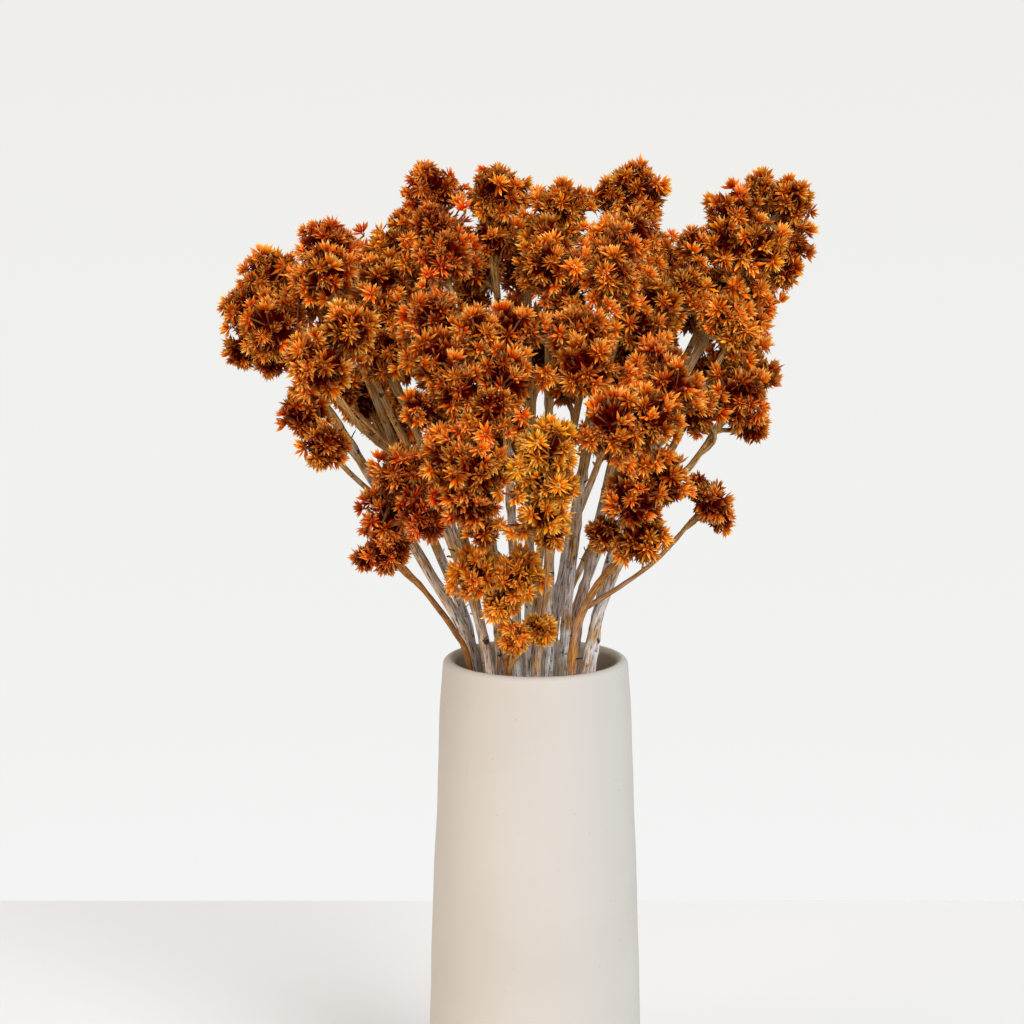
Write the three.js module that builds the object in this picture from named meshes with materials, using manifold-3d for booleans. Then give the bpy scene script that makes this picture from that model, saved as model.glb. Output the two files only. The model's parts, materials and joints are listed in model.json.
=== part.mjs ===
// A vase of dried flower stems: a tall hand-thrown ceramic vase that holds a bunch of woody stems
// with dense clusters of small star-shaped flower heads.
// Millimetres, +Z up. The origin is the centre of the vase's foot, on the surface it stands on.
import * as THREE from "three";
import { ConvexGeometry } from "three/addons/geometries/ConvexGeometry.js";
import { mergeVertices } from "three/addons/utils/BufferGeometryUtils.js";
import Module from "manifold-3d";

// The vase
const VASE_HEIGHT = 260;
const VASE_WALL = 6.2;
const VASE_FLOOR = 8;
const FOOT_EDGE = 3;
const FOOT_ROUNDING = 0.3;
const INNER_CORNER = 4;
const INNER_STEPS = [0.7, 0.4, 0.1];
const LIP_ANGLES = [45, 90, 135, 180];
const VASE_SEGMENTS = 30;
const SIDE_STEPS = 6;
// Outer radius and height up the gently flaring side, from the foot to just under the lip.
const VASE_SIDE = [
  [55.6, 3],
  [53.8, 68],
  [51.9, 132],
  [49.6, 186],
  [48, 233],
  [46.4, VASE_HEIGHT - VASE_WALL / 2],
];

// The stems. A stem's foot stands nearer to the vase's middle than its place in the mouth, and above
// the mouth it leans out more the higher it gets. A branch leaves its stem between two parts of its length.
const SEAT_GAP = 0.3;
const STEM_FOOT = VASE_FLOOR + SEAT_GAP;
const STEM_SIDES = 5;
const BRANCH_SIDES = 4;
const FOOT_SPREAD = 0.95;
const LEAN_PARTS = [0.3, 0.6, 0.85];
const LEAN_POWER = 1.3;
const STEP_LENGTH = 46;
const TAPER_POWER = 2;
const BRANCH_THICK = [0.2, 0.15];
const BRANCH_RISE = 0.75;
const BRANCH_BEND = 0.55;
const BRANCH_SAG = 0.08;
const LOWEST_FORK = 0.6;
const HIGHEST_FORK = 0.92;

// The flower clusters. Heights on a cluster are parts of its radius.
const FULLNESS = 1.12;
const HEADS = 6;
const HEAD_CENTRE = 0.76;
const HEAD_VALLEY = 0.56;
const SEAT_DEPTH = 0.5;
const SEAT_RADIUS = 0.4;
const BURIED = 0.85;
const BRACT_SHORTEST = 0.94;
const BRACT_SPLAY = 0.66;
const CLUSTER_GAP = 0.4;
const CLUSTER_HOLD = 0.7;
const TWIG_REACH = 0.85;
const SETTLE_ROUNDS = 80;
const SEED = 20;

// Vertices this close together are one vertex.
const SAME_POINT = 1e-4;

const FINISHES = {
  vase: { color: "#e6dfd5", roughness: 0.75, metalness: 0 },
  stem: { color: "#a89a8c", roughness: 0.85, metalness: 0 },
  flowers: { color: "#b4601f", roughness: 0.9, metalness: 0 },
};

// Each stem has its place in the vase's mouth, its thickness at the foot and at its tip, and its sprays.
// It may bow aside on its way up, and its branches may rise less steeply than others.
// A spray is a list of clusters, [x, y, z, radius]. The stem ends in the first cluster of its first spray,
// and a branch of it in the first cluster of each other spray.
const STEMS = {
  low_left: {
    mouth: [-33, -12.5],
    thick: [3.6, 2.6],
    sprays: {
      low_left: [
        [-70, -58, 324, 12], [-71, -56, 342, 14], [-63, -60, 360, 15], [-50, -72, 350, 14],
        [-81, -54, 320, 7],
      ],
    },
  },
  far_left: {
    mouth: [-32, -4.5],
    thick: [7.2, 3.4],
    bow: [-5, 0],
    sprays: {
      far_left: [
        [-121, -28, 427, 16], [-142, -4, 437, 14], [-124, -10, 452, 14], [-143, -6, 412, 10],
        [-128, -10, 410, 9],
      ],
      left_low: [[-111, -32, 388, 13], [-100, -42, 371, 12]],
    },
  },
  left: {
    mouth: [-31, 4.5],
    thick: [6, 3],
    bow: [-5, 0],
    sprays: {
      left: [[-100, -26, 448, 15], [-106, -8, 463, 14], [-92, 12, 463, 10]],
      left_front: [[-102, -60, 413, 16], [-85, -56, 427, 13]],
    },
  },
  upper_left: {
    mouth: [-24.3, -8.3],
    thick: [6, 3],
    sprays: {
      upper_left: [
        [-72, -40, 418, 14], [-73, -26, 433, 13], [-72, -12, 447, 16], [-73, 13, 464, 13],
        [-56, 24, 476, 12],
      ],
    },
  },
  top_left: {
    mouth: [-17, -6],
    thick: [6, 3],
    sprays: {
      top_left: [[-47, -15, 458, 14], [-45, -4, 473, 13], [-39, 5, 486, 14]],
    },
  },
  top_mid: {
    mouth: [-9, -17],
    thick: [5.6, 3],
    sprays: {
      top_mid: [
        [-21, -3, 469, 13], [-12, 0, 486, 15], [-31, 8, 453, 13], [-31, 3, 483, 10], [-31, 10, 440, 10],
      ],
    },
  },
  top: {
    mouth: [6.5, -17.5],
    thick: [6.4, 3],
    sprays: {
      top: [[5, -12, 468, 13], [5, -28, 456, 15], [8, 4, 486, 13], [24, -3, 484, 13], [20, -30, 445, 13]],
    },
  },
  top_right: {
    mouth: [13.5, -20],
    thick: [6.4, 3.2],
    sprays: {
      top_right: [
        [36, -25, 457, 14], [31, -41, 448, 13], [47, -5, 468, 15], [39, 5, 489, 16], [28, 2, 487, 9],
        [26, -14, 468, 11],
      ],
    },
  },
  right_mid: {
    mouth: [19, -14],
    thick: [5.4, 2.8],
    sprays: {
      right_mid: [[56, -20, 442, 15], [47, -38, 426, 13], [68, -4, 449, 13], [80, -14, 449, 9]],
      front_right: [[52, -80, 385, 15], [33, -88, 388, 15], [62, -65, 402, 15], [55, -50, 415, 13]],
    },
  },
  right_top: {
    mouth: [27, -17],
    thick: [6.8, 3.4],
    bow: [-4, 16],
    sprays: {
      right_top: [
        [106, -13, 463, 15], [96, -4, 479, 15], [109, 8, 487, 13], [123, 4, 486, 13], [126, 9, 467, 11],
        [86, -10, 459, 14], [119, 5, 451, 10], [74, -8, 457, 10],
      ],
    },
  },
  right: {
    mouth: [24, -24.5],
    thick: [6, 3],
    sprays: {
      right: [[97, -18, 422, 12], [100, -5, 434, 15], [82, -18, 437, 12], [111, 4, 437, 9]],
      right_low: [[95, -27, 398, 16], [111, -12, 404, 10], [105, -15, 375, 9], [75, -38, 388, 13]],
    },
  },
  centre: {
    mouth: [-17, -19],
    thick: [6, 3],
    sprays: {
      centre: [
        [-36, -78, 398, 15], [-45, -62, 415, 15], [-50, -45, 431, 15], [-27, -56, 424, 16],
        [-8, -52, 427, 14], [-16, -70, 408, 15], [-53, -73, 392, 11], [-22, -86, 390, 11],
      ],
    },
  },
  centre_right: {
    mouth: [0, -27],
    thick: [6, 3],
    sprays: {
      centre_right: [[24, -70, 411, 15], [15, -50, 428, 15], [13, -50, 402, 11]],
      golden: [[6, -86, 337, 9], [2, -92, 348, 12], [3, -93, 362, 13], [3, -95, 378, 14]],
    },
  },
  front: {
    mouth: [-22.5, -27],
    thick: [5.6, 2.8],
    bow: [-4, 9],
    sprays: {
      front: [[-43, -78, 373, 15], [-31, -92, 352, 13], [-21, -92, 371, 15], [-24, -87, 338, 9]],
    },
  },
  front_low: {
    mouth: [-14, -28],
    thick: [5, 2.4],
    sprays: {
      front_low: [[-17, -56, 298, 10], [-29, -60, 314, 13], [-9, -60, 313, 13]],
      rim: [[-11, -43, 279, 9], [1, -42, 283, 9]],
    },
  },
  low_right: {
    mouth: [17.5, -31],
    thick: [6, 3],
    bow: [-6, 2],
    rise: 0.65,
    sprays: {
      low_right: [[50, -72, 334, 14], [44, -80, 352, 15], [57, -75, 364, 13], [30, -66, 334, 9]],
      side_right: [[82, -45, 346, 11], [87, -41, 337, 8], [76, -43, 353, 8]],
    },
  },
  back_left: {
    mouth: [-25, 9],
    thick: [6, 3],
    sprays: {
      back_left: [[-98, 48, 424, 16], [-112, 32, 440, 16], [-84, 40, 440, 14]],
      back_left_low: [[-88, 52, 384, 15], [-98, 34, 392, 13], [-74, 62, 372, 13]],
    },
  },
  back_top_left: {
    mouth: [-14, 6],
    thick: [6, 3],
    sprays: {
      back_top_left: [[-55, 52, 448, 16], [-34, 27, 462, 14], [-66, 62, 430, 15]],
      back_mid_left: [[-50, 84, 400, 17], [-68, 76, 402, 14], [-34, 90, 412, 14]],
      back_low_left: [[-48, 66, 350, 15], [-62, 54, 344, 13], [-42, 76, 366, 13]],
    },
  },
  back_top: {
    mouth: [-3, -2],
    thick: [6, 3],
    sprays: {
      back_top: [[-5, 52, 464, 16], [10, 30, 470, 15], [-6, 72, 448, 15]],
      back_mid: [[0, 94, 402, 17], [18, 90, 414, 14], [-12, 88, 420, 14]],
    },
  },
  back_top_right: {
    mouth: [8, 4],
    thick: [6, 3],
    sprays: {
      back_top_right: [[52, 42, 458, 16], [40, 58, 446, 16], [60, 22, 452, 14]],
      back_mid_right: [[48, 84, 402, 16], [62, 76, 412, 14], [36, 88, 390, 14]],
      back_low_right: [[46, 68, 356, 15], [60, 56, 346, 13], [36, 78, 368, 13]],
    },
  },
  back_right: {
    mouth: [15, -2],
    thick: [6, 3],
    sprays: {
      back_right: [[92, 40, 438, 16], [106, 28, 448, 14], [80, 54, 430, 14]],
      back_right_low: [[90, 46, 396, 16], [104, 30, 402, 13], [76, 58, 388, 13]],
    },
  },
  back_low: {
    mouth: [-2, 18],
    thick: [6, 3],
    sprays: {
      back_low: [[8, 76, 340, 12], [2, 84, 356, 15], [-16, 84, 364, 14]],
    },
  },
};

const wasm = await Module();
wasm.setup();

// Repeatable random numbers from 0 to 1.
function randomFrom(seed) {
  let state = seed;
  return () => {
    state = (state * 1664525 + 1013904223) % 4294967296;
    return state / 4294967296;
  };
}

function solid(geometry) {
  const bare = geometry.clone();
  bare.deleteAttribute("normal");
  bare.deleteAttribute("uv");
  const merged = mergeVertices(bare, SAME_POINT);
  return new wasm.Manifold(
    new wasm.Mesh({
      numProp: 3,
      vertProperties: new Float32Array(merged.attributes.position.array),
      triVerts: new Uint32Array(merged.index.array),
    }),
  );
}

function meshOf(name, manifold, finish) {
  const made = manifold.getMesh();
  const geometry = new THREE.BufferGeometry();
  geometry.setAttribute("position", new THREE.BufferAttribute(made.vertProperties, 3));
  geometry.setIndex(new THREE.BufferAttribute(made.triVerts, 1));
  geometry.computeVertexNormals();
  const mesh = new THREE.Mesh(geometry, new THREE.MeshStandardMaterial(finish));
  mesh.name = name;
  return mesh;
}

const joined = (solids) => solids.reduce((sum, next) => sum.add(next));

// Cutting can leave a loose scrap or a sealed hollow: the scrap is dropped and the hollow filled.
const largestBody = (manifold) => manifold.decompose().reduce((a, b) => (a.volume() > b.volume() ? a : b));

// The clusters of every spray, as vectors that can be moved, each with the cluster it grows from.
function readClusters() {
  const clusters = [];
  for (const [stem, { sprays }] of Object.entries(STEMS))
    for (const [spray, list] of Object.entries(sprays)) {
      const first = clusters.length;
      for (const [x, y, z, radius] of list) {
        const centre = new THREE.Vector3(x, y, z);
        const earlier = clusters.slice(first);
        earlier.sort((a, b) => a.centre.distanceTo(centre) - b.centre.distanceTo(centre));
        clusters.push({ stem, spray, centre, radius: FULLNESS * radius, parent: earlier[0] });
      }
    }
  return clusters;
}

// Clusters of different sprays are pressed clear of each other, and those of one spray stay together.
function settle(clusters) {
  const between = new THREE.Vector3();
  const move = (a, b, wanted) => {
    between.subVectors(b.centre, a.centre);
    const shift = (wanted - between.length()) / 2;
    between.setLength(shift);
    b.centre.add(between);
    a.centre.sub(between);
  };
  for (let round = 0; round < SETTLE_ROUNDS; round++) {
    for (const cluster of clusters) {
      if (!cluster.parent) continue;
      const hold = CLUSTER_HOLD * (cluster.radius + cluster.parent.radius);
      if (cluster.centre.distanceTo(cluster.parent.centre) > hold) move(cluster.parent, cluster, hold);
    }
    for (let i = 0; i < clusters.length; i++)
      for (let j = i + 1; j < clusters.length; j++) {
        const [a, b] = [clusters[i], clusters[j]];
        const clear = a.radius + b.radius + CLUSTER_GAP;
        if (a.spray !== b.spray && a.centre.distanceTo(b.centre) < clear) move(a, b, clear);
      }
  }
}

// Directions of a cluster's heads, spread evenly round it, with the last one pointing back at the twig.
function headDirections(towardsTwig, random) {
  const directions = [];
  const golden = Math.PI * (3 - Math.sqrt(5));
  const turn = random() * 2 * Math.PI;
  const count = HEADS + 1;
  for (let i = 0; i < HEADS; i++) {
    const height = 1 - (2 * i + 1) / count;
    const ring = Math.sqrt(1 - height * height);
    const angle = turn + i * golden;
    directions.push(new THREE.Vector3(ring * Math.cos(angle), ring * Math.sin(angle), height));
  }
  directions.push(new THREE.Vector3(0, 0, -1));
  const aim = new THREE.Quaternion().setFromUnitVectors(new THREE.Vector3(0, 0, -1), towardsTwig);
  for (const direction of directions) direction.applyQuaternion(aim);
  return directions;
}

// A cluster of star-shaped heads: the surface sinks to a valley between every three of them,
// and all round each head pointed bracts rise and lean away from its centre, apart from those
// that would be buried in the next cluster.
function clusterSolid(cluster, siblings, towardsTwig, twigLength, random) {
  const isSeat = !cluster.parent;
  const directions = headDirections(towardsTwig, random);
  const hull = new ConvexGeometry(directions).attributes.position;
  const valleys = new Map();
  const edgeName = (a, b) => directions.indexOf(a) + ">" + directions.indexOf(b);
  const edges = [];
  for (let i = 0; i < hull.count; i += 3) {
    const heads = [0, 1, 2].map((k) => {
      const corner = new THREE.Vector3().fromBufferAttribute(hull, i + k);
      return directions.reduce((a, b) => (a.distanceTo(corner) < b.distanceTo(corner) ? a : b));
    });
    const valley = heads[0].clone().add(heads[1]).add(heads[2]).normalize();
    heads.forEach((head, k) => {
      const next = heads[(k + 1) % 3];
      valleys.set(edgeName(head, next), valley);
      edges.push([head, next]);
    });
  }
  // Where a stem meets the cluster, the valleys round it lie in one flat seat.
  const twig = directions[HEADS];
  const besideTwig = new Set();
  for (const [head, next] of edges) if (head === twig) besideTwig.add(valleys.get(edgeName(head, next)));
  const twigReach = isSeat ? SEAT_DEPTH : twigLength / cluster.radius;
  const points = [];
  const place = (direction, part) => direction.clone().setLength(part * cluster.radius).add(cluster.centre);
  const placeValley = (v) => {
    if (!isSeat || !besideTwig.has(v)) return place(v, HEAD_VALLEY);
    const aside = v.clone().projectOnPlane(twig).setLength(SEAT_RADIUS).addScaledVector(twig, SEAT_DEPTH);
    return place(aside, aside.length());
  };
  const isBuried = (tip) => siblings.some((s) => s.centre.distanceTo(tip) < BURIED * s.radius);
  const face = (...vectors) => vectors.forEach((v) => points.push(v.x, v.y, v.z));
  for (const [head, next] of edges) {
    const right = valleys.get(edgeName(next, head));
    const left = valleys.get(edgeName(head, next));
    const isTwig = head === twig;
    const centre = place(head, isTwig ? twigReach : HEAD_CENTRE);
    const [low, high] = [placeValley(right), placeValley(left)];
    const lean = right.clone().add(left).multiplyScalar(BRACT_SPLAY / 2);
    lean.addScaledVector(head, 1 - BRACT_SPLAY);
    const tip = place(lean, BRACT_SHORTEST + (1 - BRACT_SHORTEST) * random());
    if (isTwig || isBuried(tip)) {
      face(centre, low, high);
      continue;
    }
    face(centre, low, tip);
    face(low, high, tip);
    face(high, centre, tip);
  }
  const geometry = new THREE.BufferGeometry();
  geometry.setAttribute("position", new THREE.Float32BufferAttribute(points, 3));
  return solid(geometry);
}

// The points along a curve where a tube has its rings.
const ringsOf = (curve) => curve.getSpacedPoints(Math.max(2, Math.round(curve.getLength() / STEP_LENGTH)));

// A tube of a few sides along a curve, thinner towards its tip.
function tube(curve, thick, sides, grow = 0) {
  const rings = ringsOf(curve);
  const steps = rings.length - 1;
  const section = new THREE.Shape();
  for (let i = 0; i < sides; i++) {
    const angle = (2 * Math.PI * i) / sides;
    section[i ? "lineTo" : "moveTo"](Math.cos(angle), Math.sin(angle));
  }
  section.closePath();
  const geometry = new THREE.ExtrudeGeometry(section, { steps, extrudePath: curve, bevelEnabled: false });
  const vertices = geometry.attributes.position;
  const vertex = new THREE.Vector3();
  for (let i = 0; i < vertices.count; i++) {
    vertex.fromBufferAttribute(vertices, i);
    let ring = 0;
    rings.forEach((point, k) => {
      if (point.distanceTo(vertex) < rings[ring].distanceTo(vertex)) ring = k;
    });
    const radius = THREE.MathUtils.lerp(thick[0], thick[1], (ring / steps) ** TAPER_POWER) / 2 + grow;
    vertex.sub(rings[ring]).multiplyScalar(radius).add(rings[ring]);
    vertices.setXYZ(i, vertex.x, vertex.y, vertex.z);
  }
  return solid(geometry);
}

// The tip of a stem lies just under the flat seat of the cluster that it holds.
function tipUnder(cluster, from) {
  const back = from.clone().sub(cluster.centre).setLength(SEAT_DEPTH * cluster.radius + SEAT_GAP);
  return back.add(cluster.centre);
}

// A stem stands on the vase's floor, rises through the mouth, and leans out more the higher it gets.
function stemCurve([x, y], cluster, [bowX, bowY]) {
  const mouth = new THREE.Vector3(x, y, VASE_HEIGHT);
  const points = [new THREE.Vector3(mouth.x * FOOT_SPREAD, mouth.y * FOOT_SPREAD, STEM_FOOT), mouth];
  for (const part of LEAN_PARTS) {
    const point = mouth.clone().lerp(cluster.centre, part ** LEAN_POWER);
    point.z = THREE.MathUtils.lerp(mouth.z, cluster.centre.z, part);
    point.x += bowX * Math.sin(Math.PI * part);
    point.y += bowY * Math.sin(Math.PI * part);
    points.push(point);
  }
  points.push(tipUnder(cluster, points[points.length - 1]));
  return new THREE.CatmullRomCurve3(points, false, "centripetal");
}

// A branch leaves its stem as high as it can and still rise steeply enough, and turns up into its spray.
function branchCurve(stem, cluster, rise) {
  const tip = cluster.centre;
  const rings = ringsOf(stem);
  const steps = rings.length - 1;
  const forks = rings.slice(Math.ceil(LOWEST_FORK * steps), Math.floor(HIGHEST_FORK * steps) + 1);
  const risesEnough = (fork) => tip.z - fork.z > rise * Math.hypot(fork.x - tip.x, fork.y - tip.y);
  const start = forks.findLast(risesEnough) ?? forks[0];
  const bend = start.clone().lerp(tip, BRANCH_BEND);
  bend.z -= BRANCH_SAG * start.distanceTo(tip);
  return new THREE.CatmullRomCurve3([start, bend, tipUnder(cluster, bend)], false, "centripetal");
}

function vaseMesh() {
  const half = VASE_WALL / 2;
  const sideCurve = new THREE.SplineCurve(VASE_SIDE.map(([radius, z]) => new THREE.Vector2(radius, z)));
  const side = sideCurve.getPoints(SIDE_STEPS);
  const [footRadius] = VASE_SIDE[0];
  const [rimRadius] = VASE_SIDE[VASE_SIDE.length - 1];
  const rounding = FOOT_ROUNDING * FOOT_EDGE;
  const profile = [[0, 0], [footRadius - FOOT_EDGE, 0], [footRadius - rounding, rounding]];
  for (const point of side) profile.push([point.x, point.y]);
  for (const angle of LIP_ANGLES) {
    const turn = THREE.MathUtils.degToRad(angle);
    profile.push([rimRadius - half + half * Math.cos(turn), VASE_HEIGHT - half + half * Math.sin(turn)]);
  }
  for (const part of INNER_STEPS) {
    const outer = side[Math.round(part * (side.length - 1))];
    profile.push([outer.x - VASE_WALL, outer.y]);
  }
  profile.push([footRadius - VASE_WALL - INNER_CORNER, VASE_FLOOR], [0, VASE_FLOOR]);
  const outline = profile.map(([radius, z]) => new THREE.Vector2(radius, z));
  const turned = new THREE.LatheGeometry(outline, VASE_SEGMENTS).rotateX(Math.PI / 2);
  return meshOf("vase", solid(turned), FINISHES.vase);
}

const root = new THREE.Group();
root.add(vaseMesh());

const clusters = readClusters();
settle(clusters);

// Every tube of wood, with the same tube a little thicker that clears it a hole in the flowers.
const wood = [];
const addWood = (stem, curve, thick, sides) => {
  wood.push({ stem, body: tube(curve, thick, sides), hole: tube(curve, thick, sides, SEAT_GAP) });
};
const entries = new Map();
for (const [stem, { mouth, thick, sprays, bow = [0, 0], rise = BRANCH_RISE }] of Object.entries(STEMS)) {
  const tips = Object.keys(sprays).map((spray) => clusters.find((c) => c.spray === spray));
  const main = stemCurve(mouth, tips[0], bow);
  addWood(stem, main, thick, STEM_SIDES);
  entries.set(tips[0].spray, main);
  for (const tip of tips.slice(1)) {
    const branch = branchCurve(main, tip, rise);
    addWood(stem, branch, BRANCH_THICK.map((part) => part * tip.radius), BRANCH_SIDES);
    entries.set(tip.spray, branch);
  }
}

for (const stem of Object.keys(STEMS)) {
  const pieces = wood.filter((piece) => piece.stem === stem).map((piece) => piece.body);
  root.add(meshOf("stem_" + stem, joined(pieces), FINISHES.stem));
}

const random = randomFrom(SEED);
for (const spray of entries.keys()) {
  const members = clusters.filter((cluster) => cluster.spray === spray);
  const parts = [];
  for (const cluster of members) {
    const back = cluster.parent
      ? cluster.parent.centre.clone().sub(cluster.centre)
      : entries.get(spray).getTangentAt(1).negate();
    const length = TWIG_REACH * back.length();
    const siblings = members.filter((member) => member !== cluster);
    parts.push(clusterSolid(cluster, siblings, back.normalize(), length, random));
  }
  let flowers = joined(parts);
  for (const { hole } of wood) flowers = flowers.subtract(hole);
  root.add(meshOf("flowers_" + spray, largestBody(flowers), FINISHES.flowers));
}

export default root;
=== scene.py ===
# %% [markdown]
# # A vase of dried aster branches
# The real object is a tall hand-thrown vase with about twenty cut branches in it. Each branch has grey,
# fissured bark low down, turns to smooth ochre wood higher up, and forks into twigs. Every twig ends in
# a dense cluster of small dried flower heads, and every head is a star of narrow papery bracts round a
# small disc. The solid model already holds the vase, the stems and the clusters as plain faceted forms.
# This lesson dresses them: it grows the fine wood and about 3,800 heads on the same places.

# %% Load the fixed frame
import json
import math

import bpy
import numpy as np
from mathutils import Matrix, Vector

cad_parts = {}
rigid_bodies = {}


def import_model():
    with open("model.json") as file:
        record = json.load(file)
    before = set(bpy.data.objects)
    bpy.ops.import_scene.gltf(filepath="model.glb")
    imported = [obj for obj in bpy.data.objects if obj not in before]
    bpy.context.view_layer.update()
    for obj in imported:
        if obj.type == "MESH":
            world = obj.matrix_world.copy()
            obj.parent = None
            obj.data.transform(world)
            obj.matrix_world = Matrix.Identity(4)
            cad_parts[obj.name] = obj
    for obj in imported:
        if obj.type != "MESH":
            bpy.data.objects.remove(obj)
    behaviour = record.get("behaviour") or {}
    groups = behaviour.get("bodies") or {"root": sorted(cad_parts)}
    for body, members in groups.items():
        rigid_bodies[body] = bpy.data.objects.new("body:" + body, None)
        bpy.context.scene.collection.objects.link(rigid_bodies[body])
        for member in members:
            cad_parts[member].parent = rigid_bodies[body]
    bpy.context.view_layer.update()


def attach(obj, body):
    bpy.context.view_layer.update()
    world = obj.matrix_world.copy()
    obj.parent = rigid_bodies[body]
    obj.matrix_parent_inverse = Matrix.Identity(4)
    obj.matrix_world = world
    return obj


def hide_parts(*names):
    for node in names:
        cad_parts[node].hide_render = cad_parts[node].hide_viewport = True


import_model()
MM = 0.001

# %% [markdown]
# ## Where everything grows
# The stems, sprays and clusters were placed when the solid model was made, in millimetres, and the same
# list stands here. A stem has its place in the vase's mouth and its thickness at the foot and at the tip.
# Some bow aside. A spray is a list of clusters, x, y, z and radius. A stem ends in the first cluster of
# its first spray, and a branch of it in the first cluster of each other spray.

# %% Stand the stems in the vase
STEMS = {}


def stand(stem, mouth, thick, sprays, bow=(0, 0), rise=0.75):
    """Notes a stem with its sprays. rise is how steeply a branch of it has to climb at the least."""
    STEMS[stem] = {"mouth": mouth, "thick": thick, "sprays": sprays, "bow": bow, "rise": rise}


stand("low_left", (-33, -12.5), (3.6, 2.6), {
    "low_left": [
        (-70, -58, 324, 12), (-71, -56, 342, 14), (-63, -60, 360, 15), (-50, -72, 350, 14),
        (-81, -54, 320, 7),
    ],
})
stand("far_left", (-32, -4.5), (7.2, 3.4), bow=(-5, 0), sprays={
    "far_left": [
        (-121, -28, 427, 16), (-142, -4, 437, 14), (-124, -10, 452, 14), (-143, -6, 412, 10),
        (-128, -10, 410, 9),
    ],
    "left_low": [(-111, -32, 388, 13), (-100, -42, 371, 12)],
})
stand("left", (-31, 4.5), (6, 3), bow=(-5, 0), sprays={
    "left": [(-100, -26, 448, 15), (-106, -8, 463, 14), (-92, 12, 463, 10)],
    "left_front": [(-102, -60, 413, 16), (-85, -56, 427, 13)],
})
stand("upper_left", (-24.3, -8.3), (6, 3), {
    "upper_left": [
        (-72, -40, 418, 14), (-73, -26, 433, 13), (-72, -12, 447, 16), (-73, 13, 464, 13),
        (-56, 24, 476, 12),
    ],
})
stand("top_left", (-17, -6), (6, 3), {
    "top_left": [(-47, -15, 458, 14), (-45, -4, 473, 13), (-39, 5, 486, 14)],
})
stand("top_mid", (-9, -17), (5.6, 3), {
    "top_mid": [
        (-21, -3, 469, 13), (-12, 0, 486, 15), (-31, 8, 453, 13), (-31, 3, 483, 10), (-31, 10, 440, 10),
    ],
})
stand("top", (6.5, -17.5), (6.4, 3), {
    "top": [
        (5, -12, 468, 13), (5, -28, 456, 15), (8, 4, 486, 13), (24, -3, 484, 13), (20, -30, 445, 13),
    ],
})
stand("top_right", (13.5, -20), (6.4, 3.2), {
    "top_right": [
        (36, -25, 457, 14), (31, -41, 448, 13), (47, -5, 468, 15), (39, 5, 489, 16), (28, 2, 487, 9),
        (26, -14, 468, 11),
    ],
})
stand("right_mid", (19, -14), (5.4, 2.8), {
    "right_mid": [(56, -20, 442, 15), (47, -38, 426, 13), (68, -4, 449, 13), (80, -14, 449, 9)],
    "front_right": [(52, -80, 385, 15), (33, -88, 388, 15), (62, -65, 402, 15), (55, -50, 415, 13)],
})
stand("right_top", (27, -17), (6.8, 3.4), bow=(-4, 16), sprays={
    "right_top": [
        (106, -13, 463, 15), (96, -4, 479, 15), (109, 8, 487, 13), (123, 4, 486, 13),
        (126, 9, 467, 11), (86, -10, 459, 14), (119, 5, 451, 10), (74, -8, 457, 10),
    ],
})
stand("right", (24, -24.5), (6, 3), {
    "right": [(97, -18, 422, 12), (100, -5, 434, 15), (82, -18, 437, 12), (111, 4, 437, 9)],
    "right_low": [(95, -27, 398, 16), (111, -12, 404, 10), (105, -15, 375, 9), (75, -38, 388, 13)],
})
stand("centre", (-17, -19), (6, 3), {
    "centre": [
        (-36, -78, 398, 15), (-45, -62, 415, 15), (-50, -45, 431, 15), (-27, -56, 424, 16),
        (-8, -52, 427, 14), (-16, -70, 408, 15), (-53, -73, 392, 11), (-22, -86, 390, 11),
    ],
})
stand("centre_right", (0, -27), (6, 3), {
    "centre_right": [(24, -70, 411, 15), (15, -50, 428, 15), (13, -50, 402, 11)],
    "golden": [(6, -86, 337, 9), (2, -92, 348, 12), (3, -93, 362, 13), (3, -95, 378, 14)],
})
stand("front", (-22.5, -27), (5.6, 2.8), bow=(-4, 9), sprays={
    "front": [(-43, -78, 373, 15), (-31, -92, 352, 13), (-21, -92, 371, 15), (-24, -87, 338, 9)],
})
stand("front_low", (-14, -28), (5, 2.4), {
    "front_low": [(-17, -56, 298, 10), (-29, -60, 314, 13), (-9, -60, 313, 13)],
    "rim": [(-11, -43, 279, 9), (1, -42, 283, 9)],
})
stand("low_right", (17.5, -31), (6, 3), bow=(-6, 2), rise=0.65, sprays={
    "low_right": [(50, -72, 334, 14), (44, -80, 352, 15), (57, -75, 364, 13), (30, -66, 334, 9)],
    "side_right": [(82, -45, 346, 11), (87, -41, 337, 8), (76, -43, 353, 8)],
})
stand("back_left", (-25, 9), (6, 3), {
    "back_left": [(-98, 48, 424, 16), (-112, 32, 440, 16), (-84, 40, 440, 14)],
    "back_left_low": [(-88, 52, 384, 15), (-98, 34, 392, 13), (-74, 62, 372, 13)],
})
stand("back_top_left", (-14, 6), (6, 3), {
    "back_top_left": [(-55, 52, 448, 16), (-34, 27, 462, 14), (-66, 62, 430, 15)],
    "back_mid_left": [(-50, 84, 400, 17), (-68, 76, 402, 14), (-34, 90, 412, 14)],
    "back_low_left": [(-48, 66, 350, 15), (-62, 54, 344, 13), (-42, 76, 366, 13)],
})
stand("back_top", (-3, -2), (6, 3), {
    "back_top": [(-5, 52, 464, 16), (10, 30, 470, 15), (-6, 72, 448, 15)],
    "back_mid": [(0, 94, 402, 17), (18, 90, 414, 14), (-12, 88, 420, 14)],
})
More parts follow.
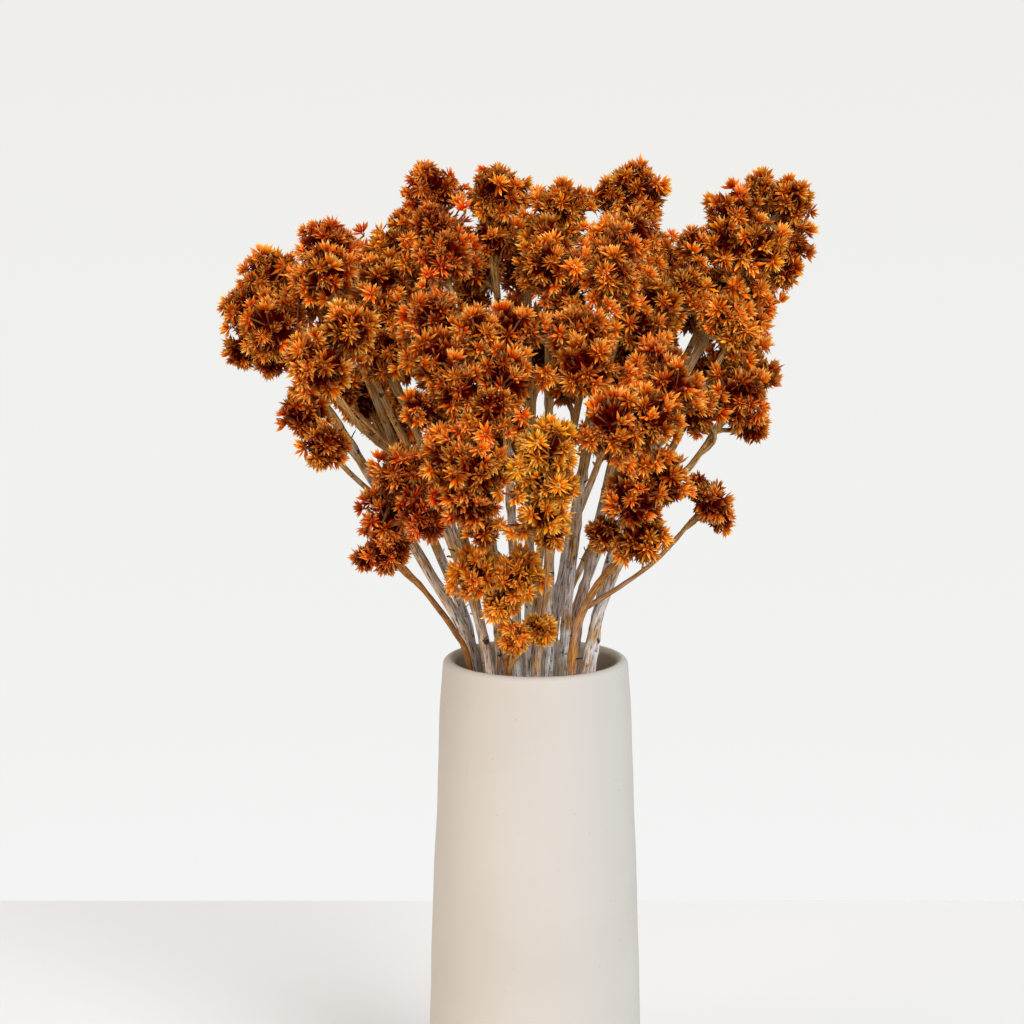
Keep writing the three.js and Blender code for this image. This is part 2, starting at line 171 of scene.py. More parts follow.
stand("back_top_right", (8, 4), (6, 3), {
    "back_top_right": [(52, 42, 458, 16), (40, 58, 446, 16), (60, 22, 452, 14)],
    "back_mid_right": [(48, 84, 402, 16), (62, 76, 412, 14), (36, 88, 390, 14)],
    "back_low_right": [(46, 68, 356, 15), (60, 56, 346, 13), (36, 78, 368, 13)],
})
stand("back_right", (15, -2), (6, 3), {
    "back_right": [(92, 40, 438, 16), (106, 28, 448, 14), (80, 54, 430, 14)],
    "back_right_low": [(90, 46, 396, 16), (104, 30, 402, 13), (76, 58, 388, 13)],
})
stand("back_low", (-2, 18), (6, 3), {
    "back_low": [(8, 76, 340, 12), (2, 84, 356, 15), (-16, 84, 364, 14)],
})
print(len(STEMS), "stems with", sum(len(facts["sprays"]) for facts in STEMS.values()), "sprays")

# %% [markdown]
# ## Let the clusters settle
# In a real bunch the clusters press each other aside. In the solid model those of different sprays are
# moved clear of each other, and those of one spray stay in touch. The finer heads have to sit exactly
# where those solids are, so the same rule runs here, with the same numbers, and gives the same places.

# %% Settle the clusters
FULLNESS = 1.12
CLUSTER_GAP = 0.4
CLUSTER_HOLD = 0.7
SETTLE_ROUNDS = 80


def read_clusters():
    """Every cluster in order, with the nearest earlier one of its spray as its parent."""
    found = []
    for stem, facts in STEMS.items():
        for spray, places in facts["sprays"].items():
            earlier = []
            for x, y, z, radius in places:
                centre = np.array([x, y, z], float)
                parent = min(earlier, key=lambda c: np.linalg.norm(c["centre"] - centre), default=None)
                cluster = {"stem": stem, "spray": spray, "centre": centre, "radius": FULLNESS * radius}
                cluster["parent"] = parent
                earlier.append(cluster)
            found += earlier
    return found


def move_apart(a, b, wanted):
    """Moves two clusters along the line between them until they are as far apart as wanted."""
    between = b["centre"] - a["centre"]
    distance = math.sqrt(between @ between)
    shift = between * ((wanted - distance) / 2 / distance)
    b["centre"] += shift
    a["centre"] -= shift


def settle(clusters):
    """Repeats the two rules in a fixed order until the clusters hardly move."""
    for _ in range(SETTLE_ROUNDS):
        for cluster in clusters:
            parent = cluster["parent"]
            if parent is None:
                continue
            hold = CLUSTER_HOLD * (cluster["radius"] + parent["radius"])
            if math.dist(cluster["centre"], parent["centre"]) > hold:
                move_apart(parent, cluster, hold)
        for i, a in enumerate(clusters):
            for b in clusters[i + 1 :]:
                clear = a["radius"] + b["radius"] + CLUSTER_GAP
                if a["spray"] != b["spray"] and math.dist(a["centre"], b["centre"]) < clear:
                    move_apart(a, b, clear)


clusters = read_clusters()
settle(clusters)
print(len(clusters), "clusters settled in", len({c["spray"] for c in clusters}), "sprays")

# %% [markdown]
# ## Smooth lines
# Wood grows in smooth bends. A line through given points could be a polyline, or a curve whose handles
# are set by hand. Here it is a centripetal spline, the same as in the solid model, because that one
# passes through every point without loops and needs no handles.

# %% Draw smooth lines
CURVE_SAMPLES = 200


def curve_point(points, t):
    """A point of the smooth curve through the points, at t from 0 to 1."""
    place = (len(points) - 1) * t
    i = min(int(place), len(points) - 2)
    part = place - i
    before = points[i - 1] if i else 2 * points[0] - points[1]
    after = points[i + 2] if i + 2 < len(points) else 2 * points[-1] - points[-2]
    a, b, c, d = before, points[i], points[i + 1], after
    ab, bc, cd = (math.sqrt(math.dist(p, q)) for p, q in ((a, b), (b, c), (c, d)))
    leave = ((b - a) / ab - (c - a) / (ab + bc) + (c - b) / bc) * bc
    arrive = ((c - b) / bc - (d - b) / (bc + cd) + (d - c) / cd) * bc
    square = 3 * (c - b) - 2 * leave - arrive
    cube = 2 * (b - c) + leave + arrive
    return b + leave * part + square * part**2 + cube * part**3


def lengths_along(line):
    """How far along the line each of its points lies."""
    return np.concatenate([[0], np.cumsum(np.linalg.norm(np.diff(line, axis=0), axis=1))])


def along_curve(points, step):
    """Points at equal distances along the curve, about one step apart."""
    times = np.linspace(0, 1, CURVE_SAMPLES + 1)
    run = lengths_along(np.array([curve_point(points, t) for t in times]))
    count = max(2, round(run[-1] / step))
    even = np.interp(np.linspace(0, run[-1], count + 1), run, times)
    return np.array([curve_point(points, t) for t in even])


arch = [np.array(point, float) for point in ((0, 0), (50, 80), (100, 0))]
print("a smooth arch with a span of 100 mm is", round(lengths_along(along_curve(arch, 5))[-1]), "mm long")

# %% [markdown]
# ## The lines that the stems follow
# A stem stands on the vase's floor, rises through the mouth and leans out more the higher it gets. A
# branch leaves it as high as it can and still rise steeply enough. The solid model draws both as smooth
# curves through a few points, and the same curves are drawn here, in short steps instead of long ones.

# %% Find the points of stems and branches
# Sizes in millimetres, as in the list of stems.
VASE_HEIGHT = 260
STEM_FOOT = 8.3
FOOT_SPREAD = 0.95
LEAN_PARTS = (0.3, 0.6, 0.85)
LEAN_POWER = 1.3
RING_STEP = 46
BRANCH_BEND = 0.55
BRANCH_SAG = 0.08
FORKS = (0.6, 0.92)
SEAT_DEPTH = 0.5
SEAT_GAP = 0.3
HUB_STEPS = 3


def toward(start, end):
    """The unit vector from one point to another."""
    return (end - start) / math.dist(start, end)


def tip_under(cluster, before):
    """Where the solid model's wood ends, under the cluster that it holds."""
    depth = SEAT_DEPTH * cluster["radius"] + SEAT_GAP
    return cluster["centre"] + toward(cluster["centre"], before) * depth


def to_hub(line, cluster):
    """The line with a last stretch on to the middle of its cluster."""
    return np.concatenate([line, np.linspace(line[-1], cluster["centre"], HUB_STEPS + 1)[1:]])


def stem_points(facts, cluster):
    """The points that a stem's curve runs through."""
    x, y = facts["mouth"]
    mouth = np.array([x, y, VASE_HEIGHT], float)
    points = [np.array([x * FOOT_SPREAD, y * FOOT_SPREAD, STEM_FOOT]), mouth]
    for part in LEAN_PARTS:
        point = mouth + (cluster["centre"] - mouth) * part**LEAN_POWER
        point[2] = mouth[2] + (cluster["centre"][2] - mouth[2]) * part
        point[:2] += np.array(facts["bow"]) * math.sin(math.pi * part)
        points.append(point)
    return points + [tip_under(cluster, points[-1])]


def branch_points(facts, stem, cluster):
    """The points that a branch's curve runs through. It starts on one of the stem's long steps."""
    tip = cluster["centre"]
    rings = along_curve(stem, RING_STEP)
    steps = len(rings) - 1
    forks = rings[math.ceil(FORKS[0] * steps) : math.floor(FORKS[1] * steps) + 1]
    steep = [f for f in forks if tip[2] - f[2] > facts["rise"] * math.dist(f[:2], tip[:2])]
    start = steep[-1] if steep else forks[0]
    bend = start + (tip - start) * BRANCH_BEND
    bend[2] -= BRANCH_SAG * math.dist(start, tip)
    return [start, bend, tip_under(cluster, bend)]


print("a stem's curve runs through", len(LEAN_PARTS) + 3, "points, a branch's through 3")

# %% [markdown]
# ## Stems and branches
# All the wood of a stem goes into one mesh of lines, whose points carry their radius and their age. Age
# is 1 in the old grey wood of the mouth and 0 in the youngest stalks, and the finish reads it. Where old
# twigs have dropped, the wood keeps a knot. Knots could be lumps of their own, but a swelling of the
# radius is enough and leaves the bark in one piece.

# %% Lay the stems and branches
FINE_STEP = 3.4
STEM_AGE = (1.25, 0.1)
BRANCH_AGE = (0.45, 0.05)
BRANCH_THICK = (0.2, 0.15)
STEM_KNOTS_APART = 26
BRANCH_KNOTS_APART = 30
KNOT_SWELLS = (0.12, 0.3)
KNOT_LENGTHS = (1.6, 3.2)
random = np.random.default_rng(7)
wood = {stem: [] for stem in STEMS}


def taper(ends, part):
    """The value that runs from the first end to the second as part runs from 0 to 1."""
    return ends[0] + (ends[1] - ends[0]) * part


def lay(stem, line, radii, age):
    """Adds a line to a stem's wood, with the radius and the age at each of its points."""
    wood[stem].append({"line": line, "radii": radii, "age": age})


def knotted(line, radii, spacing):
    """The radii with small swellings, each at a random place on the line."""
    run = lengths_along(line)
    for _ in range(int(run[-1] / spacing)):
        place = random.uniform(0, run[-1])
        swell = random.uniform(*KNOT_SWELLS)
        length = random.uniform(*KNOT_LENGTHS)
        radii = radii * (1 + swell * np.exp(-(((run - place) / length) ** 2)))
    return radii


for stem, facts in STEMS.items():
    firsts = [next(c for c in clusters if c["spray"] == spray) for spray in facts["sprays"]]
    main = stem_points(facts, firsts[0])
    line = to_hub(along_curve(main, FINE_STEP), firsts[0])
    part = np.linspace(0, 1, len(line))
    radii = knotted(line, taper(facts["thick"], part**2) / 2, STEM_KNOTS_APART)
    lay(stem, line, radii, np.clip(taper(STEM_AGE, part), 0, 1))
    firsts[0]["wood"] = line
    for first in firsts[1:]:
        line = to_hub(along_curve(branch_points(facts, main, first), FINE_STEP), first)
        part = np.linspace(0, 1, len(line))
        radii = knotted(line, first["radius"] * taper(BRANCH_THICK, part) / 2, BRANCH_KNOTS_APART)
        lay(stem, line, radii, taper(BRANCH_AGE, part))
        first["wood"] = line
print(sum(len(lines) for lines in wood.values()), "stems and branches")

# %% [markdown]
# ## Twigs
# Inside a spray every cluster hangs on a twig of its own. The twig forks off the wood of the cluster
# before it, a little below that one's end, and turns upwards as it arrives, because heads reach for
# light. A twig that would climb straight through the heads of its neighbour mostly grew round them, so
# it bulges outwards. It has two ends and a direction at each, so one cubic does for its line.

# %% Grow the twigs
FORK_DROP = 8
FORK_SPREAD = (0.8, 1.3)
LOWEST_FORK = 0.35
TWIG_RADIUS = (1.35, 0.8)
TWIG_AGE = (0.2, 0.06)
UPTURN = [0, 0, 0.9]
STEEP = 0.87
BULGES = 0.7
BULGE = 0.4
BULGE_ASIDE = [1, 1, 0.3]
TWIG_BENDS = (0.4, 0.35)
BUNCH_MIDDLE = np.array([0, 0, 385.0])


def unit(vector):
    """The vector at length 1."""
    return vector / math.sqrt(vector @ vector)


def bent_line(start, leave, end, arrive, steps):
    """A line from start to end that leaves and arrives along the two vectors."""
    t = np.linspace(0, 1, steps + 1)[:, None]
    b, c = start + leave, end - arrive
    return start * (1 - t) ** 3 + 3 * b * t * (1 - t) ** 2 + 3 * c * t**2 * (1 - t) + end * t**3


for cluster in clusters:
    parent = cluster["parent"]
    if parent is None:
        continue
    centre, older = cluster["centre"], parent["wood"]
    below = math.dist(centre, parent["centre"]) * random.uniform(*FORK_SPREAD) + FORK_DROP
    fork = max(len(older) - 1 - round(below / FINE_STEP), int(LOWEST_FORK * len(older)), 1)
    start = older[fork]
    reach = math.dist(start, centre)
    climb = toward(start, centre)
    steep = climb[2] > STEEP and random.random() < BULGES
    outward = unit((parent["centre"] - BUNCH_MIDDLE) * BULGE_ASIDE)
    bulge = outward * parent["radius"] * BULGE * steep
    leave = toward(older[fork - 1], start) * reach * TWIG_BENDS[0] + bulge
    arrive = unit(climb + UPTURN) * reach * TWIG_BENDS[1] - bulge
    line = bent_line(start, leave, centre, arrive, max(3, round(reach / FINE_STEP)))
    part = np.linspace(0, 1, len(line))
    lay(cluster["stem"], line, taper(TWIG_RADIUS, part), taper(TWIG_AGE, part))
    cluster["wood"] = line
print(sum("wood" in cluster for cluster in clusters), "clusters have their wood")

# %% [markdown]
# ## Stubs
# Dried branches are stripped of their leaves and side twigs, which leaves short broken stubs, some of
# them dead and dark. They break the clean outline of the stems. Each is a bent line of four steps like
# any other wood, so it needs no tree of its own.

# %% Leave stubs on the wood
STUBS_APART = 55
STUB_STRETCH = (0.3, 0.85)
STUBS_ABOVE = VASE_HEIGHT + 6
STUB_LENGTHS = (2, 7)
STUB_SLANT = 0.6
STUB_CURL = 0.5
STUB_BENDS = (0.5, 0.3)
STUB_STEPS = 4
STUB_RADIUS = (0.9, 0.5)
DEAD_RADIUS = (0.5, 0.2)
DEAD_AGE = -1.0
DEAD_SHARE = 0.4
THINNEST_WITH_STUBS = 0.9

for stem, lines in wood.items():
    for entry in list(lines):
        line, radii, age = entry["line"], entry["radii"], entry["age"]
        for _ in range(int(len(line) * FINE_STEP / STUBS_APART)):
            i = int(random.uniform(*STUB_STRETCH) * len(line))
            if line[i][2] < STUBS_ABOVE or radii[i] < THINNEST_WITH_STUBS:
                continue
            along, aside = toward(line[i - 1], line[i]), random.normal(0, 1, 3)
            out = unit(aside - along * (aside @ along) + along * STUB_SLANT)
            reach = random.uniform(*STUB_LENGTHS)
            end = line[i] + out * (radii[i] + reach)
            arrive = (out + random.normal(0, STUB_CURL, 3)) * reach * STUB_BENDS[1]
            stub = bent_line(line[i], out * reach * STUB_BENDS[0], end, arrive, STUB_STEPS)
            dead = random.random() < DEAD_SHARE
            thin = np.linspace(*(DEAD_RADIUS if dead else STUB_RADIUS), STUB_STEPS + 1)
            lay(stem, stub, thin, np.full(STUB_STEPS + 1, DEAD_AGE if dead else age[i]))
print(sum(len(lines) for lines in wood.values()), "stems, branches, twigs and stubs")

# %% [markdown]
# ## How each spray has dried
# The sprays of one bunch don't dry alike. Some fade to gold, some stay red-brown, in some many heads
# never opened, and in a few the heads crowd closer. These are choices, so they are kept in short tables
# with one number for each spray, and whatever isn't named has the usual value.

# %% Tones, buds and crowding
# Golden above 0, red-brown below 0. The others are at 0.
TONES = {
    "golden": 0.7, "centre": -0.1, "front_low": 0.35, "rim": 0.4, "low_left": -0.45, "front": -0.15,
    "top_left": -0.3, "upper_left": 0.3, "left_front": 0.2, "right_top": 0.1, "centre_right": -0.05,
    "front_right": -0.1, "top": 0.15, "right_low": -0.15, "left": -0.05, "back_low": 0.3,
    "back_mid": 0.2, "back_low_left": -0.3, "back_right": 0.15,
}
# The share of a spray's heads that stayed closed.
CLOSED = {"front_right": 0.45, "low_right": 0.3, "right_low": 0.2, "left_low": 0.2}
USUALLY_CLOSED = 0.08
# How many times the usual number of heads a spray has. The painted shade inside its clusters is lessened by
# the same.
CROWDED = {"golden": 1.35, "front_low": 1.6, "rim": 1.6, "right": 1.3}
print(len(TONES), "sprays have a tone of their own")

# %% [markdown]
# ## What a head needs
# A flower head has a place, a way it faces, a kind, a size and a tone, and it stands on a short stalk
# that leaves the cluster's twig a little below its end. All of that is drawn by chance within narrow
# limits. The heads are only noted here, and a tree sets them out later, because five ready kinds that
# are copied cost far less than four thousand that are modelled one by one.

# %% Note a head and its stalk
OPEN, HALF_OPEN, LOOSE, SHUT, HEART = 0, 1, 2, 3, 4
KIND_CHANCES = [0.25, 0.4, 0.35]
HEAD_SIZES = (0.78, 1.12)
# A small cluster has smaller heads: 0.7 of the size and a fiftieth for each mm of its radius, up to 1.
SMALL_SHARE = 0.7
MM_PER_SHARE = 50
FACING_UP = [0, 0, 0.2]
FACING_SHAKE = 0.5
HEAD_TONES = 0.2
# A stalk leaves the wood at one of its last five points.
STALK_FORKS = 5
STALK_BENDS = (0.35, 0.45)
STALK_STEPS = 2
STALK_RADIUS = (0.62, 0.5)
STALK_AGE = (0.03, 0)
STALK_SEAT = 1.2
heads = {spray: [] for facts in STEMS.values() for spray in facts["sprays"]}


def add_stalk(cluster, head, facing):
    """Lays the stalk of one head."""
    back = min(len(cluster["wood"]) - 2, 1 + int(random.uniform(0, STALK_FORKS)))
    start = cluster["wood"][-1 - back]
    reach = math.dist(start, head)
    leave = toward(start, cluster["wood"][-back]) * reach * STALK_BENDS[0]
    line = bent_line(start, leave, head, facing * reach * STALK_BENDS[1], STALK_STEPS)
    radii, age = (np.linspace(*ends, STALK_STEPS + 1) for ends in (STALK_RADIUS, STALK_AGE))
    lay(cluster["stem"], line, radii, age)


def add_head(cluster, place, facing, kind, size, tint):
    """Notes a head, and where its cluster's middle is, so that its finish can darken inwards."""
    spot = {"place": place, "facing": facing, "kind": kind, "size": size, "tint": tint}
    # A crowded spray gets a smaller reach, so less painted shade inside its clusters.
    reach = cluster["radius"] / math.sqrt(CROWDED.get(cluster["spray"], 1))
    heads[cluster["spray"]].append({**spot, "hub": cluster["centre"], "reach": reach})


def add_flower(cluster, place, direction):
    """Adds a head with its stalk, of a kind and a size by chance."""
    facing = unit(direction + FACING_UP + random.normal(0, FACING_SHAKE, 3))
    closed = random.random() < CLOSED.get(cluster["spray"], USUALLY_CLOSED)
    kind = SHUT if closed else random.choice([OPEN, HALF_OPEN, LOOSE], p=KIND_CHANCES)
    size = random.uniform(*HEAD_SIZES) * min(1, SMALL_SHARE + cluster["radius"] / MM_PER_SHARE)
    add_stalk(cluster, place - facing * STALK_SEAT, facing)
    add_head(cluster, place, facing, kind, size, cluster["tone"] + random.normal(0, HEAD_TONES))


print("ready for heads in", len(heads), "sprays")

# %% [markdown]
# ## Crowd the heads
# A cluster looks like a ball of stars because its heads crowd evenly round it and face outwards. Random
# places would clump and leave bald spots, so the directions come from a spiral with the golden angle,
# which spreads them evenly over a ball, and chance only shakes them. Heads that would face the twig or
# lie inside the next cluster are left out. One dense dark heart fills the inside of each cluster.

# %% Crowd the heads on their clusters
HEADS_PER_AREA = 0.118
FEWEST_HEADS = 7
HEAD_DEPTH = 4.6
HEAD_LEVELS = (0.74, 1.12)
HEAD_SHAKE = 0.2
CLUSTER_TONES = 0.15
BURIED = 0.72
TWIG_SIDE = 0.75
HEART_RADIUS = 10.0
GOLDEN_ANGLE = math.pi * (3 - math.sqrt(5))


def ball_directions(count, turn):
    """Directions spread evenly over a ball, along a spiral."""
    index = np.arange(count)
    height = 1 - (2 * index + 1) / count
    ring = np.sqrt(1 - height**2)
    angle = turn + index * GOLDEN_ANGLE
    return np.stack([ring * np.cos(angle), ring * np.sin(angle), height], axis=1)


for cluster in clusters:
    spray, centre, radius = cluster["spray"], cluster["centre"], cluster["radius"]
    siblings = [c for c in clusters if c["spray"] == spray and c is not cluster]
    twig = toward(centre, cluster["wood"][-3])
    cluster["tone"] = TONES.get(spray, 0) + random.normal(0, CLUSTER_TONES)
    count = max(FEWEST_HEADS, round(HEADS_PER_AREA * CROWDED.get(spray, 1) * radius**2))
    for direction in ball_directions(count, random.uniform(0, 2 * math.pi)):
        direction = unit(direction + random.normal(0, HEAD_SHAKE, 3))
        place = centre + direction * (radius - HEAD_DEPTH) * random.uniform(*HEAD_LEVELS)
        buried = any(math.dist(c["centre"], place) < BURIED * (c["radius"] - HEAD_DEPTH) for c in siblings)
        if not buried and direction @ twig < TWIG_SIDE:
            add_flower(cluster, place, direction)
    # The heart is dark through the painted shade of the bract finish, which darkens towards a cluster's
    # middle.
    add_head(cluster, centre, np.array([0, 0, 1.0]), HEART, radius / HEART_RADIUS, cluster["tone"])
print(sum(len(found) for found in heads.values()), "heads on their clusters")

# %% [markdown]
# ## Close the grooves
# Balls that touch leave grooves between them, and a real bunch has none: its sprays grow into each
# other. Larger balls would leave their solids, so a few heads are set over each groove between two
# sprays instead. Near the top, where the outline of single clusters shows, one is enough.

# %% Set heads over the grooves
BRIDGED = 1.22
BRIDGED_BELOW = 464
BRIDGING_HEADS = 4
BRIDGE_ASIDE = [1, 1, 0.8]
BRIDGE_LIFT = 5
BRIDGE_SHAKE = 3.2

for i, a in enumerate(clusters):
    for b in clusters[i + 1 :]:
        distance = math.dist(a["centre"], b["centre"])
        if a["spray"] == b["spray"] or distance > BRIDGED * (a["radius"] + b["radius"]):
            continue
        across = (distance + a["radius"] - b["radius"]) / 2
        between = a["centre"] + toward(a["centre"], b["centre"]) * across
        outward = unit((between - BUNCH_MIDDLE) * BRIDGE_ASIDE)
        for _ in range(BRIDGING_HEADS if between[2] < BRIDGED_BELOW else 1):
            place = between + outward * random.uniform(0, BRIDGE_LIFT) + random.normal(0, BRIDGE_SHAKE, 3)
            add_flower(a, place, outward)
print(sum(len(found) for found in heads.values()), "flower heads in", len(heads), "sprays")

# %% [markdown]
# ## One bract
# A bract is a narrow papery leaf, widest past its middle, keeled, and drawn out to a point. It could be
# a flat card, but a closed sliver has a lit side and a shaded side from everywhere. Four triangles are
# enough for a shape that is a millimetre wide and stands here many thousands of times.

# %% Model the bract
BRACT_CORNERS = [(0, 0, 0), (0.62, 0.1, 0.03), (0.62, -0.1, 0.03), (1, 0, 0.08)]
BRACT_FACES = [(0, 1, 2), (1, 3, 2), (0, 3, 1), (0, 2, 3)]


def bract_mesh():
    """One closed bract of unit length along +X. along runs from 0 at its root to 1 at its tip."""
    mesh = bpy.data.meshes.new("bract")
    mesh.from_pydata(BRACT_CORNERS, [], BRACT_FACES)
    along = mesh.attributes.new("along", "FLOAT", "POINT")
    along.data.foreach_set("value", [corner[0] for corner in BRACT_CORNERS])
    return mesh


print("a bract has", len(BRACT_FACES), "faces")

# %% [markdown]
# ## Colours and nodes
# From here on, nodes make shapes and finishes. Every node of every tree is made by one function: it sets
# the node's properties, fills its sockets with values or links, and hands back one output. Sockets that
# a node hides for its data type are skipped, so a number or a name counts only what the node shows.
# Colours are written as the sRGB hex values that an eye-dropper would give, and a shader wants them
# linear.

# %% Add a node
def linear(hex_colour):
    """The linear RGBA of an sRGB colour such as "#b4601f"."""
    parts = [int(hex_colour[i : i + 2], 16) / 255 for i in (1, 3, 5)]
    return [p / 12.92 if p <= 0.04045 else ((p + 0.055) / 1.055) ** 2.4 for p in parts] + [1.0]


def visible(sockets, key):
    """The socket with that number or name, among those that the node shows."""
    shown = [socket for socket in sockets if socket.enabled]
    return shown[key] if isinstance(key, int) else next(s for s in shown if s.name == key)


def add(tree, kind, inputs=None, output=0, stops=(), **settings):
    """Adds a node and returns one of its outputs, by number or name.

    inputs maps a socket's number or name to a value, a hex colour, a link or a list of links. stops are
    the colours of a ramp, each with its place from 0 to 1.
    """
    made = tree.nodes.new(kind)
    for name, value in settings.items():
        setattr(made, name, value)
    if stops:
        elements = made.color_ramp.elements
        for _ in stops[len(elements) :]:
            elements.new(0.5)
        for element, (place, colour) in zip(elements, stops):
            element.position = place
            element.color = linear(colour)
    for key, value in (inputs or {}).items():
        socket = visible(made.inputs, key)
        for one in value if isinstance(value, list) else [value]:
            if isinstance(one, bpy.types.NodeSocket):
                tree.links.new(one, socket)
            elif isinstance(one, str) and one.startswith("#"):
                socket.default_value = linear(one)
            else:
                socket.default_value = one
    return visible(made.outputs, output) if made.outputs else None


print("pure white is", linear("#ffffff"), "and middle grey is", linear("#808080"))

# %% [markdown]
# ## Trees that make shapes
# What repeats or follows a rule on the real object is made by a Geometry Nodes tree here. Its sizes are
# named inputs, so that they can be turned like knobs. Its result is made a plain mesh, and the modifier
# goes, because the finished model has to carry its shape without Blender.

# %% Build and run a tree
def shape_tree(name, sizes):
    """A Geometry Nodes tree with named inputs and a material. Returns it and its inputs by name."""
    tree = bpy.data.node_groups.new(name, "GeometryNodeTree")
    named = {"Geometry": ("Geometry", None), **sizes, "Material": ("Material", None)}
    for label, (kind, value) in named.items():
        socket = tree.interface.new_socket(label, in_out="INPUT", socket_type="NodeSocket" + kind)
        if value is not None:
            socket.default_value = value
    tree.interface.new_socket("Geometry", in_out="OUTPUT", socket_type="NodeSocketGeometry")
    entrance = tree.nodes.new("NodeGroupInput")
    return tree, {socket.name: socket for socket in entrance.outputs if socket.name}


def end_tree(tree, given, geometry):
    """Ends a tree with real geometry in place of instances, which an export drops, and its material."""
    real = add(tree, "GeometryNodeRealizeInstances", {"Geometry": geometry})
    done = add(tree, "GeometryNodeSetMaterial", {"Geometry": real, "Material": given["Material"]})
    add(tree, "NodeGroupOutput", {0: done})
    return tree


def grow(name, mesh, tree, values):
    """Runs a tree on a mesh, with inputs set by their identifiers, and returns a plain mesh."""
    carrier = bpy.data.objects.new(name, mesh)
    bpy.context.scene.collection.objects.link(carrier)
    modifier = carrier.modifiers.new(tree.name, "NODES")
    modifier.node_group = tree
    for socket in tree.interface.items_tree:
        if socket.in_out == "INPUT" and socket.name in values:
            modifier[socket.identifier] = values[socket.name]
    evaluated = carrier.evaluated_get(bpy.context.evaluated_depsgraph_get())
    grown = bpy.data.meshes.new_from_object(evaluated)
    carrier.modifiers.remove(modifier)
    bpy.data.objects.remove(carrier)
    grown.name = name
    return grown


print("ready to build trees and to run them")

# %% [markdown]
# ## A spiral of bracts
# A head turns each bract on by the golden angle from the one before, as the plant does: the inner ones
# stand up, and the outer ones lie flat or bend back. How far they spread and how long they are is all
# that tells an open head from a half-open or a shut one, so one tree with those sizes as its inputs
# makes every kind. It gives each bract its place in the spiral, for the finish.

# %% Build the spiral tree
# How far chance turns a bract aside and about its own axis, in radians, and how uneven the lengths are.
WOBBLE = 0.38
ROLL = 1.7
ROLL_SEED = 5
UNEVEN = (0.7, 1.18)


def spiral_tree():
    """Whorls of the incoming bract round +Z, on a small domed disc. Lengths are in metres."""
    tree, given = shape_tree("bracts_in_a_spiral", {
        "Bracts": ("Int", 36), "Inner Spread": ("Float", 0.3), "Outer Spread": ("Float", 1.6),
        "Inner Length": ("Float", 0.004), "Outer Length": ("Float", 0.006), "Width": ("Float", 1.0),
        "Disc": ("Float", 0.0011), "Disc Detail": ("Int", 1), "Seed": ("Int", 1),
    })
    seed = given["Seed"]
    seeds = add(tree, "GeometryNodePoints", {"Count": given["Bracts"]})
    index = add(tree, "GeometryNodeInputIndex")
    outward = add(tree, "ShaderNodeMath", {0: index, 1: given["Bracts"]}, operation="DIVIDE")
    angle = add(tree, "ShaderNodeMath", {0: index, 1: GOLDEN_ANGLE}, operation="MULTIPLY")
    spread, length = (
        add(tree, "ShaderNodeMapRange", {
            "Value": outward, "To Min": given["Inner " + size], "To Max": given["Outer " + size],
        })
        for size in ("Spread", "Length")
    )
    wobble, roll, uneven = (
        add(tree, "FunctionNodeRandomValue", {"Min": low, "Max": high, "ID": index, "Seed": chance},
            data_type="FLOAT")
        for low, high, chance in ((-WOBBLE, WOBBLE, seed), (-ROLL, ROLL, ROLL_SEED), (*UNEVEN, seed))
    )
    spread = add(tree, "ShaderNodeMath", {0: spread, 1: wobble}, operation="ADD")
    lowered = add(tree, "ShaderNodeMath", {0: spread, 1: math.pi / 2}, operation="SUBTRACT")
    turned = add(tree, "ShaderNodeMath", {0: angle, 1: wobble}, operation="ADD")
    length = add(tree, "ShaderNodeMath", {0: length, 1: uneven}, operation="MULTIPLY")
    width = add(tree, "ShaderNodeMath", {0: length, 1: given["Width"]}, operation="MULTIPLY")
    pose = add(tree, "ShaderNodeCombineXYZ", {"X": roll, "Y": lowered, "Z": turned})
    placed = add(tree, "GeometryNodeInstanceOnPoints", {
        "Points": seeds, "Instance": given["Geometry"],
        "Rotation": add(tree, "FunctionNodeEulerToRotation", {0: pose}),
        "Scale": add(tree, "ShaderNodeCombineXYZ", {0: length, 1: width, 2: length}),
    })
    placed = add(tree, "GeometryNodeStoreNamedAttribute",
                 {"Geometry": placed, "Name": "whorl", "Value": outward},
                 data_type="FLOAT", domain="INSTANCE")
    ball = {"Radius": given["Disc"], "Subdivisions": given["Disc Detail"]}
    disc = add(tree, "GeometryNodeMeshIcoSphere", ball)
    height = add(tree, "ShaderNodeSeparateXYZ", {0: add(tree, "GeometryNodeInputPosition")}, output="Z")
    dome = add(tree, "ShaderNodeMath", {0: height, 1: given["Disc"]}, operation="DIVIDE")
    middle = add(tree, "ShaderNodeMapRange", {"Value": dome, "To Min": 0.5, "To Max": 1.0})
    disc = add(tree, "GeometryNodeStoreNamedAttribute",
               {"Geometry": disc, "Name": "disc", "Value": middle}, data_type="FLOAT")
    return end_tree(tree, given, add(tree, "GeometryNodeJoinGeometry", {0: [placed, disc]}))


spiral = spiral_tree()
print("the spiral tree has", len(spiral.nodes), "nodes")

# %% [markdown]
# ## Five kinds of head
# On the plant no two heads are alike, and from a step away four kinds are enough: open, half-open,
# loose and shut. Chance in size, turn and tone hides that they repeat. The fifth kind is the dense heart
# of a cluster. The kinds go into a collection in the order of their names, from which a tree picks one
# by its number. A spread is the angle from the head's axis in radians.

